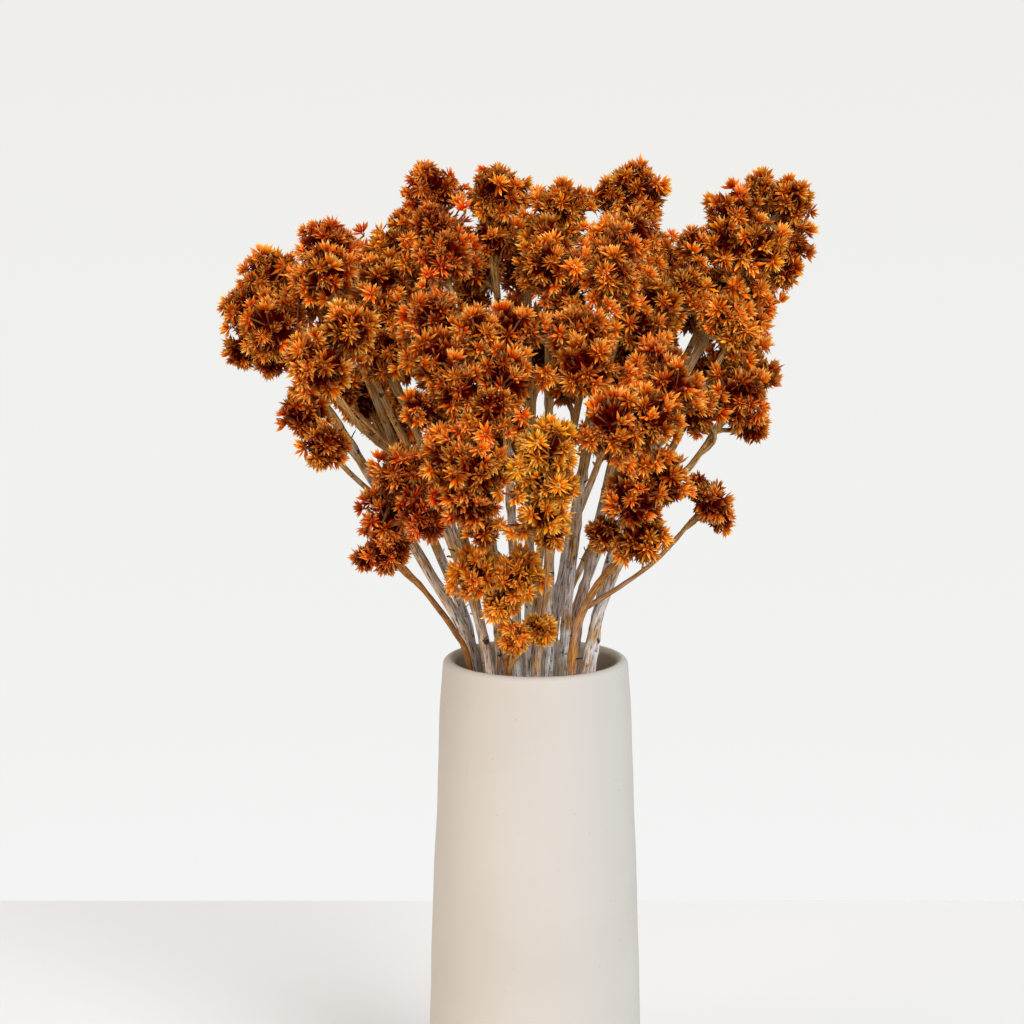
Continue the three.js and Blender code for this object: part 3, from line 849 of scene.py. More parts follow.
# %% Make the kinds of head
# Dried bract: thin papery leaf, dull on both sides, so it scatters light and never shines.
bract_finish = bpy.data.materials.new("dried_bract")
kinds = bpy.data.collections.new("kinds_of_head")
HEAD_SHAPES = {
    "kind_0_open": (44, (0.85, 1.8), (5.4, 6.6), {"Disc": 0.0016}),
    "kind_1_half": (44, (0.15, 1.15), (6.0, 7.2), {"Width": 1.2}),
    "kind_2_loose": (42, (0.3, 1.9), (6.0, 6.0), {"Width": 1.15}),
    "kind_3_shut": (26, (0.05, 0.7), (6.0, 6.2), {"Width": 1.4}),
    "kind_4_heart": (130, (0.1, 3.0), (7.6, 7.6), {"Width": 1.6, "Disc": 0.0024, "Disc Detail": 2}),
}
for seed, (name, (bracts, spread, length, more)) in enumerate(HEAD_SHAPES.items()):
    values = {"Bracts": bracts, "Seed": seed, "Material": bract_finish, **more}
    values.update({"Inner Spread": spread[0], "Outer Spread": spread[1]})
    values.update({"Inner Length": length[0] * MM, "Outer Length": length[1] * MM})
    mesh = grow(name, bract_mesh(), spiral, values)
    kinds.objects.link(bpy.data.objects.new(name, mesh))
    print(name, "has", len(mesh.polygons), "faces")

# %% [markdown]
# ## Points that carry values
# A tree knows only what its mesh tells it. So each head becomes a loose point, which holds the head's
# facing, size and kind as named attributes, and later each line of wood does the same with its radius
# and its age. The kind of an attribute follows from the numbers that it gets.

# %% Make points with values
def points_mesh(name, places, values, edges=()):
    """A mesh of loose points or lines, with named numbers, vectors or flags on its points."""
    mesh = bpy.data.meshes.new(name)
    mesh.from_pydata([tuple(place) for place in places], list(edges), [])
    kinds_of_data = {"v": "FLOAT_VECTOR", "f": "FLOAT", "i": "INT", "b": "BOOLEAN"}
    for label, data in values.items():
        data = np.asarray(data)
        kind = "v" if data.ndim == 2 else data.dtype.kind
        attribute = mesh.attributes.new(label, kinds_of_data[kind], "POINT")
        attribute.data.foreach_set("vector" if kind == "v" else "value", data.ravel())
    return mesh


print("ready to make points with values")

# %% [markdown]
# ## Put the heads on the sprays
# Nearly four thousand heads could be copied in a loop, but a tree does it at once. It reads where each
# head sits, which way it faces and which kind it is from the points of a mesh, and sets that kind there.
# One piece for each spray takes the place of that spray's solid.

# %% Scatter the heads
def scatter_tree():
    """Sets a kind of head on every point, turned to face along the point's own vector."""
    tree, given = shape_tree("heads_on_points", {"Kinds": ("Collection", None)})
    facing, turn, size, kind = (
        add(tree, "GeometryNodeInputNamedAttribute", {"Name": label}, data_type=data_type)
        for label, data_type in (
            ("facing", "FLOAT_VECTOR"), ("turn", "FLOAT"), ("size", "FLOAT"), ("kind", "INT"),
        )
    )
    chosen = add(tree, "GeometryNodeCollectionInfo", {
        "Collection": given["Kinds"], "Separate Children": True, "Reset Children": True,
    })
    aim = add(tree, "FunctionNodeAlignRotationToVector", {"Vector": facing}, axis="Z")
    spin = add(tree, "FunctionNodeAxisAngleToRotation", {"Axis": (0, 0, 1), "Angle": turn})
    pose = add(tree, "FunctionNodeRotateRotation", {"Rotation": aim, "Rotate By": spin},
               rotation_space="LOCAL")
    placed = add(tree, "GeometryNodeInstanceOnPoints", {
        "Points": given["Geometry"], "Instance": chosen, "Pick Instance": True, "Instance Index": kind,
        "Rotation": pose, "Scale": add(tree, "ShaderNodeCombineXYZ", {0: size, 1: size, 2: size}),
    })
    return end_tree(tree, given, placed)


def show(name, mesh, replaced):
    """Makes a finished mesh a piece of the object, in place of a part of the solid model."""
    piece = bpy.data.objects.new(name, mesh)
    bpy.context.scene.collection.objects.link(piece)
    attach(piece, "root")
    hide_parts(replaced)
    return piece


scatter = scatter_tree()
triangles = 0
for spray, found in heads.items():
    columns = {key: np.array([head[key] for head in found]) for key in found[0]}
    for key in ("place", "hub", "reach"):
        columns[key] = columns[key] * MM
    columns["turn"] = random.uniform(0, 2 * math.pi, len(found))
    points = points_mesh("points_" + spray, columns.pop("place"), columns)
    mesh = grow("heads_" + spray, points, scatter, {"Kinds": kinds, "Material": bract_finish})
    triangles += len(mesh.polygons)
    show("heads_" + spray, mesh, "flowers_" + spray)
print(triangles, "triangles in the flower heads")

# %% [markdown]
# ## Turn the lines into wood
# Each line becomes a tube whose radius is read from its points. Old wood is fissured lengthwise and
# lumpy. A bump in the finish alone would leave the outline smooth, so noise that is stretched along the
# stem pushes the surface itself in and out, most where the wood is old.

# %% Build the wood tree
# Fissures are about 12 mm long, and 1.4 of them lie on a radian round the stem, about nine in all.
FISSURES_AROUND = 1.4
FISSURE_NOISE = {"Scale": 1.0, "Detail": 3.0, "Roughness": 0.6}
FISSURE_LEVELS = {"From Min": 0.32, "From Max": 0.62, "To Min": -1.0, "To Max": 0.6}
YOUNG_RELIEF = 0.25


def wood_tree():
    """Tubes along the edges of the incoming mesh, with fissures in their surface."""
    tree, given = shape_tree("wood_along_lines", {
        "Stem Sides": ("Int", 12), "Twig Sides": ("Int", 4),
        "Relief": ("Float", 0.0005), "Fissure Length": ("Float", 0.012),
    })
    thin, radius, around, run, age, line_seed = (
        add(tree, "GeometryNodeInputNamedAttribute", {"Name": label}, data_type=data_type)
        for label, data_type in (
            ("twig", "BOOLEAN"), ("radius_here", "FLOAT"), ("around", "FLOAT_VECTOR"),
            ("run", "FLOAT"), ("age", "FLOAT"), ("line_seed", "FLOAT"),
        )
    )
    thick = add(tree, "FunctionNodeBooleanMath", {0: thin}, operation="NOT")
    tubes = []
    for chosen, sides in ((thick, "Stem Sides"), (thin, "Twig Sides")):
        line = add(tree, "GeometryNodeMeshToCurve", {"Mesh": given["Geometry"], "Selection": chosen})
        length = add(tree, "GeometryNodeSplineParameter", output="Length")
        line = add(tree, "GeometryNodeStoreNamedAttribute",
                   {"Geometry": line, "Name": "run", "Value": length}, data_type="FLOAT")
        ring = add(tree, "GeometryNodeCurvePrimitiveCircle", {"Resolution": given[sides], "Radius": 1.0})
        corner = add(tree, "GeometryNodeInputPosition")
        ring = add(tree, "GeometryNodeStoreNamedAttribute",
                   {"Geometry": ring, "Name": "around", "Value": corner}, data_type="FLOAT_VECTOR")
        tubes.append(add(tree, "GeometryNodeCurveToMesh", {
            "Curve": line, "Profile Curve": ring, "Scale": radius, "Fill Caps": True,
        }))
    climb = add(tree, "ShaderNodeMath", {0: run, 1: given["Fissure Length"]}, operation="DIVIDE")
    unrolled = add(tree, "ShaderNodeVectorMath", {0: around, "Scale": FISSURES_AROUND}, operation="SCALE")
    lift = add(tree, "ShaderNodeCombineXYZ", {"X": line_seed, "Z": climb})
    place = add(tree, "ShaderNodeVectorMath", {0: unrolled, 1: lift}, operation="ADD")
    rough = add(tree, "ShaderNodeTexNoise", {"Vector": place, **FISSURE_NOISE})
    crack = add(tree, "ShaderNodeMapRange", {"Value": rough, **FISSURE_LEVELS})
    push = add(tree, "ShaderNodeMath", {0: crack, 1: given["Relief"]}, operation="MULTIPLY")
    worn = add(tree, "ShaderNodeMapRange", {"Value": age, "To Min": YOUNG_RELIEF})
    strength = add(tree, "ShaderNodeMath", {0: push, 1: worn}, operation="MULTIPLY")
    outward = add(tree, "GeometryNodeInputNormal")
    offset = add(tree, "ShaderNodeVectorMath", {0: outward, "Scale": strength}, operation="SCALE")
    joined = add(tree, "GeometryNodeJoinGeometry", {0: tubes})
    pushed = add(tree, "GeometryNodeSetPosition", {"Geometry": joined, "Offset": offset})
    smooth = add(tree, "GeometryNodeSetShadeSmooth", {"Geometry": pushed, "Shade Smooth": True})
    return end_tree(tree, given, smooth)


grow_wood = wood_tree()
print("the wood tree has", len(grow_wood.nodes), "nodes")

# %% [markdown]
# ## Grow the wood
# On the real branch stem, twigs and stalks are one piece of wood, so each stem is one piece here. Its
# lines run into each other at the forks. Lines that are under 2.6 mm thick all along, mostly stalks and
# stubs, get four sides, and the others get twelve. Each line has its own seed, so that no two share
# their fissures.

# %% Grow every stem
THIN = 1.3
# How rust-brown the bark of a stem is. The others are grey.
RUSTY = {"low_left": 0.9, "low_right": 0.65, "front_low": 0.5, "centre_right": 0.35, "right_mid": 0.3}
# Bark: dead cork that has dried and split lengthwise. It is rough, so it shows relief and no gloss.
bark_finish = bpy.data.materials.new("fissured_bark")
triangles = 0
for stem, lines in wood.items():
    sizes = [len(entry["line"]) for entry in lines]
    starts = np.cumsum([0] + sizes)
    edges = [(i, i + 1) for a, b in zip(starts, starts[1:]) for i in range(a, b - 1)]
    places, radii, age = (np.concatenate([entry[key] for entry in lines]) for key in ("line", "radii", "age"))
    values = {
        "radius_here": radii * MM,
        "age": age,
        "rusty": np.full(len(places), RUSTY.get(stem, 0.0)),
        "line_seed": np.repeat(random.uniform(0, 40, len(lines)), sizes),
        "twig": np.repeat([entry["radii"].max() < THIN for entry in lines], sizes),
    }
    mesh = points_mesh("lines_" + stem, places * MM, values, edges)
    mesh = grow("wood_" + stem, mesh, grow_wood, {"Material": bark_finish})
    triangles += sum(len(polygon.vertices) - 2 for polygon in mesh.polygons)
    show("wood_" + stem, mesh, "stem_" + stem)
print(triangles, "triangles in the wood")

# %% [markdown]
# ## The wall of the vase
# A thrown vase is a body of revolution, so its wall is one closed profile: up the gently narrowing side,
# over the round lip, down the inside and across the floor. A surface with Solidify would give the wall
# too, but not this lip and foot. Six points make the side, and formulas make the rest.

# %% Draw the wall's profile
VASE_WALL = 6.2
VASE_FLOOR = 8.0
FOOT_EDGE = 3.0
INNER_CORNER = 4.0
INNER_FLAT = 7.0
VASE_SIDE = [(55.6, 3), (53.8, 68), (51.9, 132), (49.6, 186), (48, 233), (46.4, VASE_HEIGHT - VASE_WALL / 2)]
SIDE_STEP = 5
FLAT_RINGS = 5


def vase_profile():
    """Radius and height along the closed wall, from the middle of the foot to the middle of the floor."""
    half = VASE_WALL / 2
    side = along_curve([np.array(point, float) for point in VASE_SIDE], SIDE_STEP)
    foot, rim = VASE_SIDE[0][0] - FOOT_EDGE, VASE_SIDE[-1][0] - half
    inner = VASE_SIDE[0][0] - VASE_WALL
    profile = [(r, 0.0) for r in np.linspace(0, foot, FLAT_RINGS)]
    for turn in np.radians((30, 60)):
        profile.append((foot + FOOT_EDGE * math.sin(turn), FOOT_EDGE * (1 - math.cos(turn))))
    profile += [tuple(point) for point in side]
    for turn in np.radians(range(15, 181, 15)):
        profile.append((rim + half * math.cos(turn), VASE_HEIGHT - half + half * math.sin(turn)))
    profile += [(r - VASE_WALL, z) for r, z in side[-2:3:-2] if z > VASE_FLOOR + 2 * INNER_CORNER]
    for low, high in ((0.15, 0.85), (0.85, 0.15)):
        profile.append((inner - low * INNER_CORNER, VASE_FLOOR + high * INNER_CORNER))
    return profile + [(r, VASE_FLOOR) for r in np.linspace(inner - INNER_FLAT, 0, FLAT_RINGS)]


print("the wall's profile has", len(vase_profile()), "points")

# %% [markdown]
# ## Turn the vase
# The potter's wheel carries the profile round the axis, and so does this loop. Spin or a Screw modifier
# would do the same, but here the two points on the axis become single poles, so that the body is closed,
# and each ring can be marked as inside or outside for the painted shade inside the mouth.

# %% Turn the profile
VASE_SEGMENTS = 144


def turned_mesh(name, profile, segments):
    """A closed body of revolution whose profile starts and ends on the axis. inside is 1 past the lip."""
    rows = profile[1:-1]
    corners = [(0, 0, profile[0][1] * MM), (0, 0, profile[-1][1] * MM)]
    for radius, z in rows:
        for i in range(segments):
            angle = 2 * math.pi * i / segments
            corners.append((radius * MM * math.cos(angle), radius * MM * math.sin(angle), z * MM))
    faces = []
    last = 2 + (len(rows) - 1) * segments
    for i in range(segments):
        j = (i + 1) % segments
        faces.append((0, 2 + j, 2 + i))
        faces.append((1, last + i, last + j))
        for row in range(len(rows) - 1):
            low, high = 2 + row * segments, 2 + (row + 1) * segments
            faces.append((low + i, low + j, high + j, high + i))
    mesh = bpy.data.meshes.new(name)
    mesh.from_pydata(corners, [], faces)
    lip = max(range(len(rows)), key=lambda row: rows[row][1])
    shares = [0.0, 1.0] + [float(row > lip) for row in range(len(rows)) for _ in range(segments)]
    inside = mesh.attributes.new("inside", "FLOAT", "POINT")
    inside.data.foreach_set("value", shares)
    return mesh


turned = turned_mesh("turned_vase", vase_profile(), VASE_SEGMENTS)
print("turned vase of", len(turned.polygons), "faces")

# %% [markdown]
# ## The hand in the clay
# Hands and drying leave a thrown vase very slightly out of round, with faint rings. Without them it
# looks machined. Sculpting would do, but broad noise and a sine that drifts give both in real sizes, and
# the foot stays flat so that the vase stands.

# %% Push the clay by hand
# Millimetres from one wave of the wall to the next, and the size of a patch in which the rings drift.
WAVES_APART = 71.4
DRIFTS_APART = 111
RING_DRIFT = 9.0
FLAT_FOOT = {"From Min": 3 * MM, "From Max": 20 * MM}


def per_metre(size):
    """The scale of a noise whose patches are that many millimetres wide."""
    return float(round(1 / (size * MM)))


def hand_tree():
    """Pushes the surface in and out by broad soft noise and by faint rings, and leaves the foot flat."""
    tree, given = shape_tree("thrown_by_hand", {
        "Waviness": ("Float", 0.0005), "Rings": ("Float", 0.00008), "Ring Spacing": ("Float", 0.007),
    })
    place = add(tree, "GeometryNodeInputPosition")
    height = add(tree, "ShaderNodeSeparateXYZ", {0: place}, output="Z")
    waves = {"Vector": place, "Scale": per_metre(WAVES_APART), "Detail": 1.0}
    broad = add(tree, "ShaderNodeTexNoise", waves)
    broad = add(tree, "ShaderNodeMapRange", {"Value": broad, "To Min": -1.0, "To Max": 1.0})
    broad = add(tree, "ShaderNodeMath", {0: broad, 1: given["Waviness"]}, operation="MULTIPLY")
    climb = add(tree, "ShaderNodeMath", {0: height, 1: given["Ring Spacing"]}, operation="DIVIDE")
    drifts = {"Vector": place, "Scale": per_metre(DRIFTS_APART), "Detail": 0.0}
    drift = add(tree, "ShaderNodeTexNoise", drifts)
    phase = add(tree, "ShaderNodeMath", {0: drift, 1: RING_DRIFT, 2: climb}, operation="MULTIPLY_ADD")
    ring = add(tree, "ShaderNodeMath", {0: phase}, operation="SINE")
    push = add(tree, "ShaderNodeMath", {0: ring, 1: given["Rings"], 2: broad}, operation="MULTIPLY_ADD")
    raised = add(tree, "ShaderNodeMapRange", {"Value": height, **FLAT_FOOT})
    push = add(tree, "ShaderNodeMath", {0: push, 1: raised}, operation="MULTIPLY")
    flat = add(tree, "ShaderNodeVectorMath", {0: place, 1: (1.0, 1.0, 0.0)}, operation="MULTIPLY")
    outward = add(tree, "ShaderNodeVectorMath", {0: flat}, operation="NORMALIZE")
    offset = add(tree, "ShaderNodeVectorMath", {0: outward, "Scale": push}, operation="SCALE")
    pushed = add(tree, "GeometryNodeSetPosition", {"Geometry": given["Geometry"], "Offset": offset})
    smooth = add(tree, "GeometryNodeSetShadeSmooth", {"Geometry": pushed, "Shade Smooth": True})
    return end_tree(tree, given, smooth)


# Stoneware, thrown and fired without glaze: dry and chalky, so its highlight is broad and very soft.
clay_finish = bpy.data.materials.new("matte_stoneware")
mesh = grow("vase_body", turned, hand_tree(), {"Material": clay_finish})
show("vase_body", mesh, "vase")
print("vase of", len(mesh.polygons), "faces")

# %% [markdown]
# ## The colour along a bract
# Dried bracts are papery and burnt orange. What sells them is the run of colour on each one, from a deep
# red-brown root to a lighter tip, so that every star shows its rays against its own dark middle. The
# bracts' own colour runs so, and the ramp makes it stronger: the dark root is partly painted shade, and
# the pale tip partly a painted highlight. A picture of a bract would need an unwrap, and the value along
# each bract tells a colour ramp the same. The outer bracts, which lie flat or bend back, are redder and
# darker than the inner ones, partly by their own colour and partly by painted shade.

# %% Colour each bract
# Real fibres are a tenth of a millimetre wide, too fine to show, so only broad blotches are drawn.
BLOTCH = 3.33


def bare_tree(owner):
    """The empty node tree of a material or a world."""
    owner.use_nodes = True
    owner.node_tree.nodes.clear()
    return owner.node_tree


tree = bare_tree(bract_finish)
along, whorl, tint, disc, reach = (
    add(tree, "ShaderNodeAttribute", output="Fac", attribute_name=label)
    for label in ("along", "whorl", "tint", "disc", "reach")
)
hub = add(tree, "ShaderNodeAttribute", output="Vector", attribute_name="hub")
spot = add(tree, "ShaderNodeTexCoord", output="Object")

blotch = add(tree, "ShaderNodeTexNoise", {"Vector": spot, "Scale": per_metre(BLOTCH), "Detail": 2.0})
place = add(tree, "ShaderNodeMath", {0: blotch, 1: 0.6, 2: along}, operation="MULTIPLY_ADD")
place = add(tree, "ShaderNodeMath", {0: place, 1: 0.3}, operation="SUBTRACT")
# The dark root stops are partly painted shade and the pale tip stops partly a painted highlight; the outer
# ramp is darker, partly by painted shade.
inner = add(tree, "ShaderNodeValToRGB", {0: place},
            stops=[(0.05, "#ae1e00"), (0.4, "#e46000"), (0.75, "#e4982e"), (1.0, "#eac27c")])
outer = add(tree, "ShaderNodeValToRGB", {0: place},
            stops=[(0.05, "#9c0e00"), (0.4, "#da4800"), (0.75, "#e27c1c"), (1.0, "#e6aa5a")])
colour = add(tree, "ShaderNodeMix", {"Factor": whorl, "A": inner, "B": outer}, data_type="RGBA")
print("the colour along a bract takes", len(tree.nodes), "nodes")

# %% [markdown]
# ## Bracts and heads that differ
# On the real plant one head has dried golden and the next red-brown, and the bracts of one head differ a
# little too. Random numbers stored on the mesh could tell them apart. Here each head has its tone, and
# a noise along a line turns the tone, and the place in the spiral, into a brightness for each.

# %% Shuffle bracts and heads
BRACT_SHUFFLE = 37.0
HEAD_SHUFFLE = 60.0
HUE_SHIFT = 0.018

bract_order = add(tree, "ShaderNodeMath", {0: whorl, 1: BRACT_SHUFFLE, 2: tint}, operation="MULTIPLY_ADD")
head_order = add(tree, "ShaderNodeMath", {0: tint, 1: HEAD_SHUFFLE}, operation="MULTIPLY")
brightness = 1.0
for order, low, high in ((bract_order, 0.68, 1.2), (head_order, 0.92, 1.2)):
    chance = add(tree, "ShaderNodeTexNoise", {"W": order, "Scale": 1.0, "Detail": 0.0},
                 noise_dimensions="1D")
    chance = add(tree, "ShaderNodeMapRange",
                 {"Value": chance, "From Min": 0.3, "From Max": 0.7, "To Min": low, "To Max": high})
    brightness = add(tree, "ShaderNodeMath", {0: chance, 1: brightness}, operation="MULTIPLY")
hue = add(tree, "ShaderNodeMath", {0: tint, 1: HUE_SHIFT, 2: 0.5}, operation="MULTIPLY_ADD")
colour = add(tree, "ShaderNodeHueSaturation", {"Hue": hue, "Value": brightness, "Color": colour})
print("the shuffled colour takes", len(tree.nodes), "nodes")

# %% [markdown]
# ## The dark inside of a cluster
# Between the heads one looks into brown shadow. Light alone leaves the small gaps too bright, because
# the modelled heads are fewer than the real ones. So the colour turns dark as well, from the edge of
# the cluster towards its middle. Only the discs of the outer heads keep their dull yellow ring.

# %% Darken the inside and colour the discs
SHADE_INSIDE = {"From Min": 1.0, "From Max": 0.55}

# Painted shade: the colour turns dark red-brown towards the cluster's middle, in place of shadow between the
# heads.
away = add(tree, "ShaderNodeVectorMath", {0: spot, 1: hub}, operation="DISTANCE")
away = add(tree, "ShaderNodeMath", {0: away, 1: reach}, operation="DIVIDE")
painted_shade = add(tree, "ShaderNodeMapRange", {"Value": away, **SHADE_INSIDE})
unshaded = add(tree, "ShaderNodeMath", {0: 1.0, 1: painted_shade}, operation="SUBTRACT")
ring = add(tree, "ShaderNodeValToRGB", {0: disc},
           stops=[(0.5, "#9a4c10"), (0.76, "#d8b45a"), (0.86, "#a08a3c"), (1.0, "#5e4a1c")])
on_disc = add(tree, "ShaderNodeMath", {0: disc, 1: 0.1}, operation="GREATER_THAN")
on_disc = add(tree, "ShaderNodeMath", {0: on_disc, 1: unshaded}, operation="MULTIPLY")
for share, paint in ((painted_shade, "#640a00"), (on_disc, ring)):
    colour = add(tree, "ShaderNodeMix", {"Factor": share, "A": colour, "B": paint}, data_type="RGBA")
dull = {"Base Color": colour, "Roughness": 0.8, "Specular IOR Level": 0.0}
add(tree, "ShaderNodeOutputMaterial", {0: add(tree, "ShaderNodeBsdfPrincipled", dull)})
print("the bract finish has", len(tree.nodes), "nodes")

# %% [markdown]
# ## The grain of the wood
# Bark splits and fades along the stem, so its pattern has to follow every bend. Object coordinates would
# cut straight through it. The tree has stored the length along each line and the place round it, and
# noise on those two is drawn out lengthwise. The same grain colours grey bark, ochre wood and rusty bark.

# %% Draw the grain
# Streaks of grain are 14.3 / 2.2 = 6.5 mm long, and 1.8 * 2.2 lie on a radian round the stem. Finer ones
# don't show in a render, so they are drawn that coarse.
GRAIN_RUN = 14.3
GRAIN_AROUND = 1.8
GRAIN_NOISE = {"Scale": 2.2, "Detail": 5.0, "Roughness": 0.7}

tree = bare_tree(bark_finish)
age, run, line_seed, rusty = (
    add(tree, "ShaderNodeAttribute", output="Fac", attribute_name=label)
    for label in ("age", "run", "line_seed", "rusty")
)
around = add(tree, "ShaderNodeAttribute", output="Vector", attribute_name="around")
climb = add(tree, "ShaderNodeMath", {0: run, 1: per_metre(GRAIN_RUN)}, operation="MULTIPLY")
lift = add(tree, "ShaderNodeCombineXYZ", {0: line_seed, 2: climb})
unrolled = add(tree, "ShaderNodeVectorMath", {0: around, "Scale": GRAIN_AROUND}, operation="SCALE")
place = add(tree, "ShaderNodeVectorMath", {0: unrolled, 1: lift}, operation="ADD")
grain = add(tree, "ShaderNodeTexNoise", {"Vector": place, **GRAIN_NOISE})
grey, ochre, brown = (
    add(tree, "ShaderNodeValToRGB", {0: grain}, stops=stops)
    for stops in (
        [(0.36, "#2f2822"), (0.42, "#8d8780"), (0.48, "#cfccc8"), (0.6, "#f2f1ef")],
        [(0.36, "#3d260f"), (0.44, "#8f6028"), (0.52, "#bd8c46"), (0.68, "#d9b070")],
        [(0.36, "#3d1c08"), (0.46, "#9a5a1c"), (0.65, "#c98a3e")],
    )
)
print("the grain takes", len(tree.nodes), "nodes")

# %% [markdown]
# ## The layers of colour on the wood
# Old bark is a pale lilac grey whose fissures show brown, and the young wood is a smooth warm ochre. Two
# materials would meet in a hard line, so one mixes both by the age on the points, and patches of noise
# break the border. Dark knots, rust patches, the stalks' brown and the dead stubs come on top, in turn.

# %% Layer the colours of the wood
# A patch is about twice as wide as a stem, and a knot is a few millimetres wide.
PATCH = 14.3
KNOT = 5.26

spot = add(tree, "ShaderNodeTexCoord", output="Object")
patch = add(tree, "ShaderNodeTexNoise", {"Vector": spot, "Scale": per_metre(PATCH), "Detail": 3.0})
knot = add(tree, "ShaderNodeTexNoise",
           {"Vector": spot, "Scale": per_metre(KNOT), "Detail": 4.0, "Roughness": 0.65})
knot = add(tree, "ShaderNodeMapRange", {"Value": knot, "From Min": 0.61, "From Max": 0.66})
rust = add(tree, "ShaderNodeMapRange", {"Value": patch, "From Min": 0.6, "From Max": 0.72, "To Max": 0.4})
old = add(tree, "ShaderNodeMath", {0: patch, 1: 1.1, 2: age}, operation="MULTIPLY_ADD")
old = add(tree, "ShaderNodeMapRange", {"Value": old, "From Min": 0.85, "From Max": 1.25})
stalk = add(tree, "ShaderNodeMapRange", {"Value": age, "From Min": 0.1, "From Max": 0.0})
dead = add(tree, "ShaderNodeMath", {0: age, 1: DEAD_AGE / 2}, operation="LESS_THAN")
colour = ochre
for share, paint in (
    (old, grey), (knot, "#33281f"), (rust, "#9a5f2a"), (rusty, brown), (stalk, "#8a4610"), (dead, "#3b2415"),
):
    colour = add(tree, "ShaderNodeMix", {"Factor": share, "A": colour, "B": paint}, data_type="RGBA")
bump = add(tree, "ShaderNodeBump", {"Strength": 0.8, "Distance": 0.8 * MM, "Height": grain})
rough = {"Base Color": colour, "Roughness": 0.85, "Normal": bump}
add(tree, "ShaderNodeOutputMaterial", {0: add(tree, "ShaderNodeBsdfPrincipled", rough)})
print("the bark finish has", len(tree.nodes), "nodes")

# %% [markdown]
# ## The finish of the vase
# The clay is a warm off-white without glaze. Its matte skin has a fine sandy grain and a few open pits,
# and its colour drifts very slightly, so that it doesn't look like plastic. Past the lip the colour turns
# a warm brown, which is painted shade, and the mark on the inner rings says where. The pits are the
# middles of a pattern of cells, which a broader noise lets through only here and there, and their darker
# colour is painted shade too.

# %% Finish the clay
# Real grit is under 0.3 mm, less than a pixel, so it is drawn a little coarser, at 0.7 mm.
GRIT = 0.7143
PITS_APART = 3.85
PIT_PATCH = 16.7
COLOUR_DRIFT = 91
INNER_SHADE = 0.6

tree = bare_tree(clay_finish)
spot = add(tree, "ShaderNodeTexCoord", output="Object")
drift, sand, rare = (
    add(tree, "ShaderNodeTexNoise", {"Vector": spot, "Scale": per_metre(size), "Detail": detail})
    for size, detail in ((COLOUR_DRIFT, 3.0), (GRIT, 2.0), (PIT_PATCH, 2.0))
)
pits = add(tree, "ShaderNodeTexVoronoi", {"Vector": spot, "Scale": per_metre(PITS_APART)})
rim = add(tree, "ShaderNodeMapRange", {"Value": pits, "From Min": 0.1, "From Max": 0.2})
rare = add(tree, "ShaderNodeMapRange", {"Value": rare, "From Min": 0.6, "From Max": 0.66})
pit = add(tree, "ShaderNodeMath", {0: 1.0, 1: rim}, operation="SUBTRACT")
pit = add(tree, "ShaderNodeMath", {0: pit, 1: rare}, operation="MULTIPLY")
# The pits are coloured darker: painted shade in them.
pit_shade = add(tree, "ShaderNodeMath", {0: pit, 1: 0.35}, operation="MULTIPLY")
# Past the lip the colour is mixed towards a warm brown: painted shade inside the mouth.
inside = add(tree, "ShaderNodeAttribute", output="Fac", attribute_name="inside")
painted_inner_shade = add(tree, "ShaderNodeMath", {0: inside, 1: INNER_SHADE}, operation="MULTIPLY")
colour = add(tree, "ShaderNodeValToRGB", {0: drift}, stops=[(0.3, "#bab5ad"), (0.7, "#c1bdb6")])
for share, paint in ((pit_shade, "#a8967c"), (painted_inner_shade, "#94805a")):
    colour = add(tree, "ShaderNodeMix", {"Factor": share, "A": colour, "B": paint}, data_type="RGBA")
height = add(tree, "ShaderNodeMath", {0: pit, 1: -2.0, 2: sand}, operation="MULTIPLY_ADD")
bump = add(tree, "ShaderNodeBump", {"Strength": 0.25, "Distance": 0.2 * MM, "Height": height})
matte = {"Base Color": colour, "Roughness": 0.62, "Specular IOR Level": 0.35, "Normal": bump}
add(tree, "ShaderNodeOutputMaterial", {0: add(tree, "ShaderNodeBsdfPrincipled", matte)})
print("the clay finish has", len(tree.nodes), "nodes")

# %% [markdown]
# ## The table
# The vase stands on a pale table, whose back edge is the line behind it. One flat face is enough for it,
# since only its top shows.

# %% Set the table
TABLE_HALF = 0.62
TABLE_BACK = 0.406

left, right, front = -TABLE_HALF, TABLE_HALF, -TABLE_HALF
corners = [(left, front, 0), (right, front, 0), (right, TABLE_BACK, 0), (left, TABLE_BACK, 0)]
table = bpy.data.meshes.new("table_top")
table.from_pydata(corners, [], [(0, 1, 2, 3)])
# Painted wood: an even, nearly dull white that takes a soft shadow.
table_finish = bpy.data.materials.new("pale_table")
tree = bare_tree(table_finish)
painted = {"Base Color": "#d0d0cf", "Roughness": 0.9}
add(tree, "ShaderNodeOutputMaterial", {0: add(tree, "ShaderNodeBsdfPrincipled", painted)})
table.materials.append(table_finish)
table_top = bpy.data.objects.new("table_top", table)
bpy.context.scene.collection.objects.link(table_top)
print("table", 2 * TABLE_HALF, "m wide, with its back edge at y =", TABLE_BACK)

# %% [markdown]
# ## The wall
# Behind the table is a pale wall. It could be a plane, but it would need its own lights. So it is the
# world's colour as the camera sees it, and the world's light on the object is set apart from it.

# %% Paint the wall
ROOM_STRENGTH = 0.72

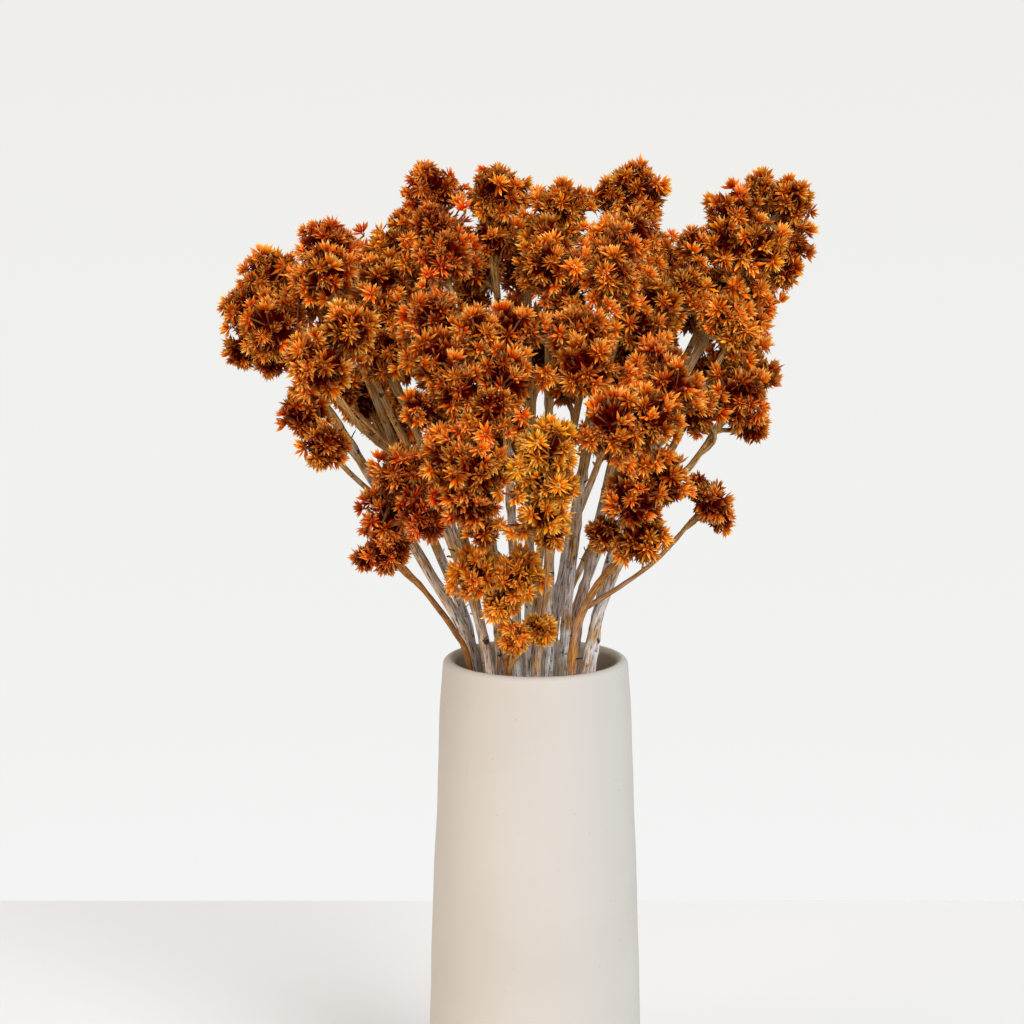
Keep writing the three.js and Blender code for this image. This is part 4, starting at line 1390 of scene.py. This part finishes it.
world = bpy.data.worlds.new("bright_room")
bpy.context.scene.world = world
tree = bare_tree(world)
way = add(tree, "ShaderNodeTexCoord", output="Generated")
height = add(tree, "ShaderNodeSeparateXYZ", {0: way}, output="Z")
lower = add(tree, "ShaderNodeMapRange", {"Value": height, "From Min": -0.3, "From Max": 0.02})
shade = add(tree, "ShaderNodeValToRGB", {0: lower}, stops=[(0.0, "#f3f4f3"), (1.0, "#efeeeb")])
wall = add(tree, "ShaderNodeBackground", {"Color": shade, "Strength": 1.0})
room = add(tree, "ShaderNodeBackground", {"Color": "#f6f6f6", "Strength": ROOM_STRENGTH})
seen = add(tree, "ShaderNodeLightPath", output="Is Camera Ray")
add(tree, "ShaderNodeOutputWorld", {0: add(tree, "ShaderNodeMixShader", {0: seen, 1: room, 2: wall})})
print("the world's tree has", len(tree.nodes), "nodes")

# %% [markdown]
# ## Light and camera
# The light of a bright room is broad and soft: cool and strong from the right, warm and weaker from the
# left, with a little from above. Three large square lights give that, and none is seen itself. The
# camera stands 1.2 m away, a little above the bunch, and looks down by 9 degrees.

# %% Light the vase and set the camera
# Place and aim in metres, size, watts and colour of each light.
LIGHTS = {
    "key": ((2.1, -3.8, 2.67), (0, 0, 0.33), 2.4, 196, "#f6f9ff"),
    "fill": ((-3.0, -2.2, 1.3), (0, 0, 0.3), 2.2, 62, "#ffdab2"),
    "top": ((0.0, 0.2, 2.2), (0, 0, 0), 1.6, 21, "#ffffff"),
}
CAMERA_PLACE = (-0.01175, -1.2, 0.528)
CAMERA_DOWN = 9.2
CAMERA_ANGLE = 23.56

for name, (place, aim, size, watts, colour) in LIGHTS.items():
    lamp = bpy.data.lights.new(name, "AREA")
    lamp.size = size
    lamp.energy = watts
    lamp.color = linear(colour)[:3]
    light = bpy.data.objects.new(name, lamp)
    light.location = place
    light.rotation_euler = (Vector(aim) - Vector(place)).to_track_quat("-Z", "Y").to_euler()
    light.visible_camera = False
    bpy.context.scene.collection.objects.link(light)

camera = bpy.data.objects.new("photo_view", bpy.data.cameras.new("photo_view"))
camera.location = CAMERA_PLACE
camera.rotation_euler = (math.radians(90 - CAMERA_DOWN), 0, 0)
camera.data.angle = math.radians(CAMERA_ANGLE)
bpy.context.scene.collection.objects.link(camera)
bpy.context.scene.camera = camera
bpy.context.scene.view_settings.view_transform = "Standard"
print(len(LIGHTS), "lights, and a camera", CAMERA_PLACE)
